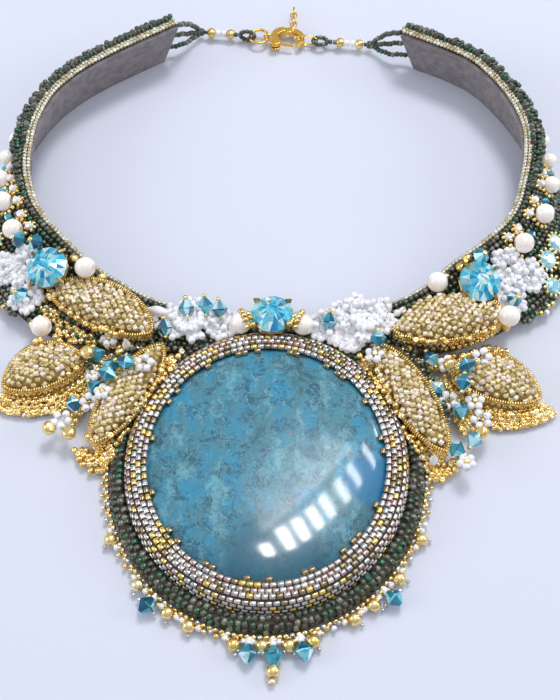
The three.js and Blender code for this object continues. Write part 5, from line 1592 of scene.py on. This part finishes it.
LINE = on_closure(1, 0, 0) - on_closure(0, 0, 0)
ACROSS = on_closure(0, 1, 0) - on_closure(0, 0, 0)
for side, sign in SIGN.items():
    knot = on_closure(sign * KNOT)
    strands = Stringing(f"loops_{side}")
    edge, across, normal, along, width = band(side, LAST_ROW)
    for i, share in enumerate(STRAND_SHARES):
        start = edge + across * share * width + normal * GROUND / 2 + along * (GAP - share * END_SLANT)
        leave = start + along * 1.3
        middle = (leave + knot) / 2 + ACROSS * (1 - i) * 1.6
        middle[2] = max(middle[2], STRAND_LOWEST)
        strand = np.array((start, leave, middle, knot))
        rope(strands, dark_seed, strand, pitch=1.15, girth=0.12, wide=0.98)
        print(f"{side} strand {i + 1}: {np.linalg.norm(np.diff(strand, axis=0), axis=1).sum():.1f} mm")
    strands.sew(dark_seed, knot, LINE, wide=1.5, tone=KNOT_TONE)
    strands.sew(dark_seed, knot - LINE * sign * 1.3, LINE, wide=0.72, tone=KNOT_TONE)
    strands.make(f"bead_loops_{side}")
    link = Stringing(f"link_{side}")
    outer = sign * (KNOT - KNOT_RADIUS - GAP - BALL_RADIUS)
    link.sew(gold_ball, on_closure(outer), LINE, wide=0.94)
    for step in (-0.85, 0.85):
        link.sew(white_barrel, on_closure(outer - sign * LINK_PITCH + step), LINE, wide=1.35, long=0.9)
    link.sew(gold_ball, on_closure(outer - sign * 2 * LINK_PITCH), LINE, wide=0.94)
    low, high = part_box(f"bead_link_{side}")
    inner = (high.x if side == "left" else low.x) / MM - CLOSURE_AT[0]
    loop_x = inner + sign * 2.7
    for i in range(LOOP_BEADS):
        turn = i * 2 * math.pi / LOOP_BEADS
        a, b = 2.05 * math.cos(turn), 1.45 * math.sin(turn)
        spot = on_closure(loop_x + a, b) if side == "right" else on_closure(loop_x + a, 0, CLASP_RISE + b)
        link.sew(dark_seed, spot, LINE, wide=0.88)
    for i in range(2):
        link.sew(dark_seed, on_closure(outer - sign * (7.1 + i * 1.2)), LINE, wide=0.9)
    link.make(f"bead_link_{side}")

# %% [markdown]
# The rings, the short chain and the clasp are bright gold. Each ring is a torus of its own size,
# drawn in where it is oval and turned to lie or stand. The clasp and its lever are cast pieces with
# soft edges, so their solids are copied, merged, rebuilt with even small faces and smoothed. The
# lever rides on its own body, because it turns on its pin.

# %% Gold metal
metal = Finish("bright_gold", Metallic=1.0)
scuff = metal.noise(0.9, detail=4)
bright_gold = metal.paint(
    Base_Color=metal.mix(scuff.between(0.4, 0.7), ink(252, 208, 104), ink(240, 188, 78)),
    Roughness=scuff * 0.14 + 0.1)
CHAIN_RING, CHAIN_WIRE, CHAIN_LINKS, LINK_STEP, LINK_HOLD = 4.4, 0.55, 4, 2.75, 0.5
CHAIN_START, CHAIN_END = 2.2, 1.2


def wire_ring(name, at, length, width, wire, turn=0.0, plane="flat"):
    """A closed ring of wire in mm, flat or standing on its length."""
    deselect()
    bpy.ops.mesh.primitive_torus_add(
        major_radius=(length - wire) / 2 * MM, minor_radius=wire / 2 * MM,
        major_segments=36, minor_segments=12)
    ring = bpy.context.object
    ring.name = name
    editing(ring, everything=True)
    scaled(1, (width - wire) / (length - wire), 1)
    if plane != "flat":
        bpy.ops.transform.rotate(value=math.pi / 2, orient_axis="X", center_override=(0, 0, 0))
    bpy.ops.transform.rotate(value=-turn, orient_axis="Z", center_override=(0, 0, 0))
    bpy.ops.transform.translate(value=Vector(at) * MM)
    deselect()
    for face in ring.data.polygons:
        face.use_smooth = True
    ring.data.materials.append(bright_gold)
    return ring


def centre(name):
    """Middle of a solid's box, in mm."""
    low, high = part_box(name)
    return np.array((low + high) / 2) / MM


rings = [wire_ring("ring_left", centre("jump_ring_left"), 6.2, 6.2, 0.8, CLOSURE_TURN),
         wire_ring("ring_right", centre("jump_ring_right"), 6.6, 4.0, 0.6, CLOSURE_TURN, "standing")]
for ring, name in zip(rings, ("jump_ring_left", "jump_ring_right")):
    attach(ring, "necklace")
    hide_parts(name)
low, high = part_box("extension_chain")
chain_x = (low.x + high.x) / 2 / MM
chain = [wire_ring(
    "chain_ring", (chain_x, low.y / MM + CHAIN_RING / 2, 2.25), CHAIN_RING, CHAIN_RING, CHAIN_WIRE,
    math.pi / 2, "standing")]
reach = low.y / MM + CHAIN_RING - CHAIN_WIRE / 2 - LINK_HOLD
for i in range(CHAIN_LINKS):
    z = CHAIN_START + (CHAIN_END - CHAIN_START) * (i + 0.6) / CHAIN_LINKS
    chain.append(wire_ring(
        f"chain_link_{i + 1}", (chain_x, reach + LINK_STEP / 2, z), 3.3, 2.3, CHAIN_WIRE,
        math.pi / 2, "standing" if i % 2 else "flat"))
    reach += LINK_STEP - LINK_HOLD
for link in chain:
    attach(link, "necklace")
    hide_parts("extension_chain")
print("rings and links:", len(rings) + len(chain))

# %% Clasp and lever
def cast(name, node, grain, body):
    """A soft-edged copy of a metal solid; grain is the size of its new faces in mm."""
    deselect()
    piece = solids[node].copy()
    piece.data = solids[node].data.copy()
    piece.name = piece.data.name = name
    bpy.context.scene.collection.objects.link(piece)
    piece.parent = None
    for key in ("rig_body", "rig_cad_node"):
        if key in piece:
            del piece[key]
    editing(piece, everything=True)
    bpy.ops.mesh.remove_doubles(threshold=0.01 * MM)
    only(piece)
    rebuilt = piece.modifiers.new("rebuilt", "REMESH")
    rebuilt.mode, rebuilt.voxel_size, rebuilt.use_smooth_shade = "VOXEL", grain * MM, True
    bpy.ops.object.modifier_apply(modifier="rebuilt")
    softened = piece.modifiers.new("softened", "SMOOTH")
    softened.factor, softened.iterations = 0.5, 5
    bpy.ops.object.modifier_apply(modifier="softened")
    piece.data.materials.clear()
    piece.data.materials.append(bright_gold)
    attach(piece, body)
    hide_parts(node)
    print(name, len(piece.data.polygons), "faces")


cast("clasp", "clasp_body", 0.14, "necklace")
cast("lever", "clasp_lever", 0.1, "clasp_lever_body")

# %% [markdown]
# The light is plain and soft: a pale surround, one broad lamp high behind the necklace that throws
# the short shadows towards the front, and two low lamps at the sides for glints on the metal. The
# stone also mirrors a window with a blind. Each slat of light is put where the dome throws it into
# the camera, found by turning the line of sight about the dome's own normal. Beside the slats a
# soft haze fades over the stone, from nine broad and ever fainter strips. All of these lamps light
# only what mirrors them.

# %% Surround and broad lamps
world = bpy.data.worlds.new("pale_room")
bpy.context.scene.world = world
world.use_nodes = True
nodes = world.node_tree.nodes
links = world.node_tree.links
direction = nodes.new("ShaderNodeTexCoord")
parts = nodes.new("ShaderNodeSeparateXYZ")
links.new(direction.outputs["Generated"], parts.inputs[0])
sky = nodes.new("ShaderNodeValToRGB")
low_sky, high_sky = sky.color_ramp.elements
low_sky.position, low_sky.color = 0.0, ink(160, 160, 166)
high_sky.position, high_sky.color = 0.9, ink(244, 246, 255)
links.new(parts.outputs["Z"], sky.inputs[0])
links.new(sky.outputs[0], nodes["Background"].inputs["Color"])
nodes["Background"].inputs["Strength"].default_value = 0.7


def lamp(name, at, towards, size, watts, roll=(1, 0, 0), glossy=True, diffuse=True):
    """A soft rectangular lamp at a place in metres, facing a point; roll is where its width runs."""
    data = bpy.data.lights.new(name, "AREA")
    data.shape = "RECTANGLE"
    data.size, data.size_y = size
    data.energy = watts
    light = bpy.data.objects.new(name, data)
    bpy.context.scene.collection.objects.link(light)
    back = (Vector(at) - Vector(towards)).normalized()
    side = Vector(roll)
    side = (side - side.dot(back) * back).normalized()
    turn = Matrix((side, back.cross(side), back)).transposed().to_4x4()
    light.matrix_world = Matrix.Translation(Vector(at)) @ turn
    light.visible_glossy, light.visible_diffuse = glossy, diffuse


lamp("broad_lamp", (0.16, 0.62, 1.0), (0, 0.05, 0), (0.34, 0.34), 6.0, glossy=False)
lamp("left_lamp", (-0.9, -0.1, 0.42), (0, 0.03, 0), (0.3, 0.5), 2.4)
lamp("right_lamp", (0.95, 0.1, 0.45), (0, 0.03, 0), (0.3, 0.5), 2.0)
print("broad lamps in watts:", [light.energy for light in bpy.data.lights])

# %% Slats of light in the stone
def mirrored(x, y):
    """Direction in which the stone's dome, at x and y in millimetres, mirrors the camera."""
    lift = math.sqrt(1 - (x / STONE_RADIUS) ** 2 - (y / STONE_RADIUS / OVAL) ** 2)
    at = Vector((x, y, DECK + STONE_SIDE + STONE_DOME * lift))
    normal = Vector((x / STONE_RADIUS ** 2, y / (STONE_RADIUS * OVAL) ** 2, lift / STONE_DOME)).normalized()
    view = (camera.location / MM - at).normalized()
    return at * MM, (2 * normal.dot(view) * normal - view).normalized()


SLAT_DISTANCE = 0.7


def slat(name, a, b, thick, glow):
    """A lamp whose mirror image on the stone runs from a to b, thick millimetres wide there."""
    (at_a, to_a), (at_b, to_b) = mirrored(*a), mirrored(*b)
    end_a, end_b = at_a + to_a * SLAT_DISTANCE, at_b + to_b * SLAT_DISTANCE
    length = (end_b - end_a).length
    width = length * thick / math.hypot(a[0] - b[0], a[1] - b[1])
    watts = glow * math.pi * length * width
    lamp(name, (end_a + end_b) / 2, (at_a + at_b) / 2, (length, width), watts, end_b - end_a, diffuse=False)


SLATS = [(24.7, 6.4), (22.5, 0.9), (19.2, -4.1), (16.6, -8.1), (13.4, -11.8), (10.8, -14.6),
         (7.9, -17.2), (4.8, -19.3), (0.9, -21.9)]
SLAT_THICK, SLAT_GLOW, SLAT_GLOW_STEP = 1.6, 12, 3
HAZE_STRIPS, HAZE_STEP, HAZE_GLOW, HAZE_FADE = 9, 1.15, 6.0, 0.74
for i, (x, y) in enumerate(SLATS):
    half_x, half_y = (1.4, 2.2) if 0 < i < len(SLATS) - 1 else (0.8, 1.2)
    glow = SLAT_GLOW + SLAT_GLOW_STEP * i
    slat(f"slat_{i + 1}", (x - half_x, y + half_y), (x + half_x, y - half_y), SLAT_THICK, glow)
for i in range(HAZE_STRIPS):
    off, ends = 2.0 + HAZE_STEP * i, 0.5 * i
    upper_end = (20.5 - off - ends, 1.5 + off * 0.8 - ends)
    lower_end = (1.5 - off + ends, -19.5 + off * 0.8 + ends)
    slat(f"haze_{i + 1}", upper_end, lower_end, HAZE_STEP * 1.35, HAZE_GLOW * HAZE_FADE ** i)

# %% [markdown]
# Last come the sizes: what was added, in triangles.

# %% Sizes
for name, count in sorted(added.items(), key=lambda item: -item[1])[:8]:
    print(f"{name}: {count} triangles")
print("triangles in strung beads:", sum(added.values()))
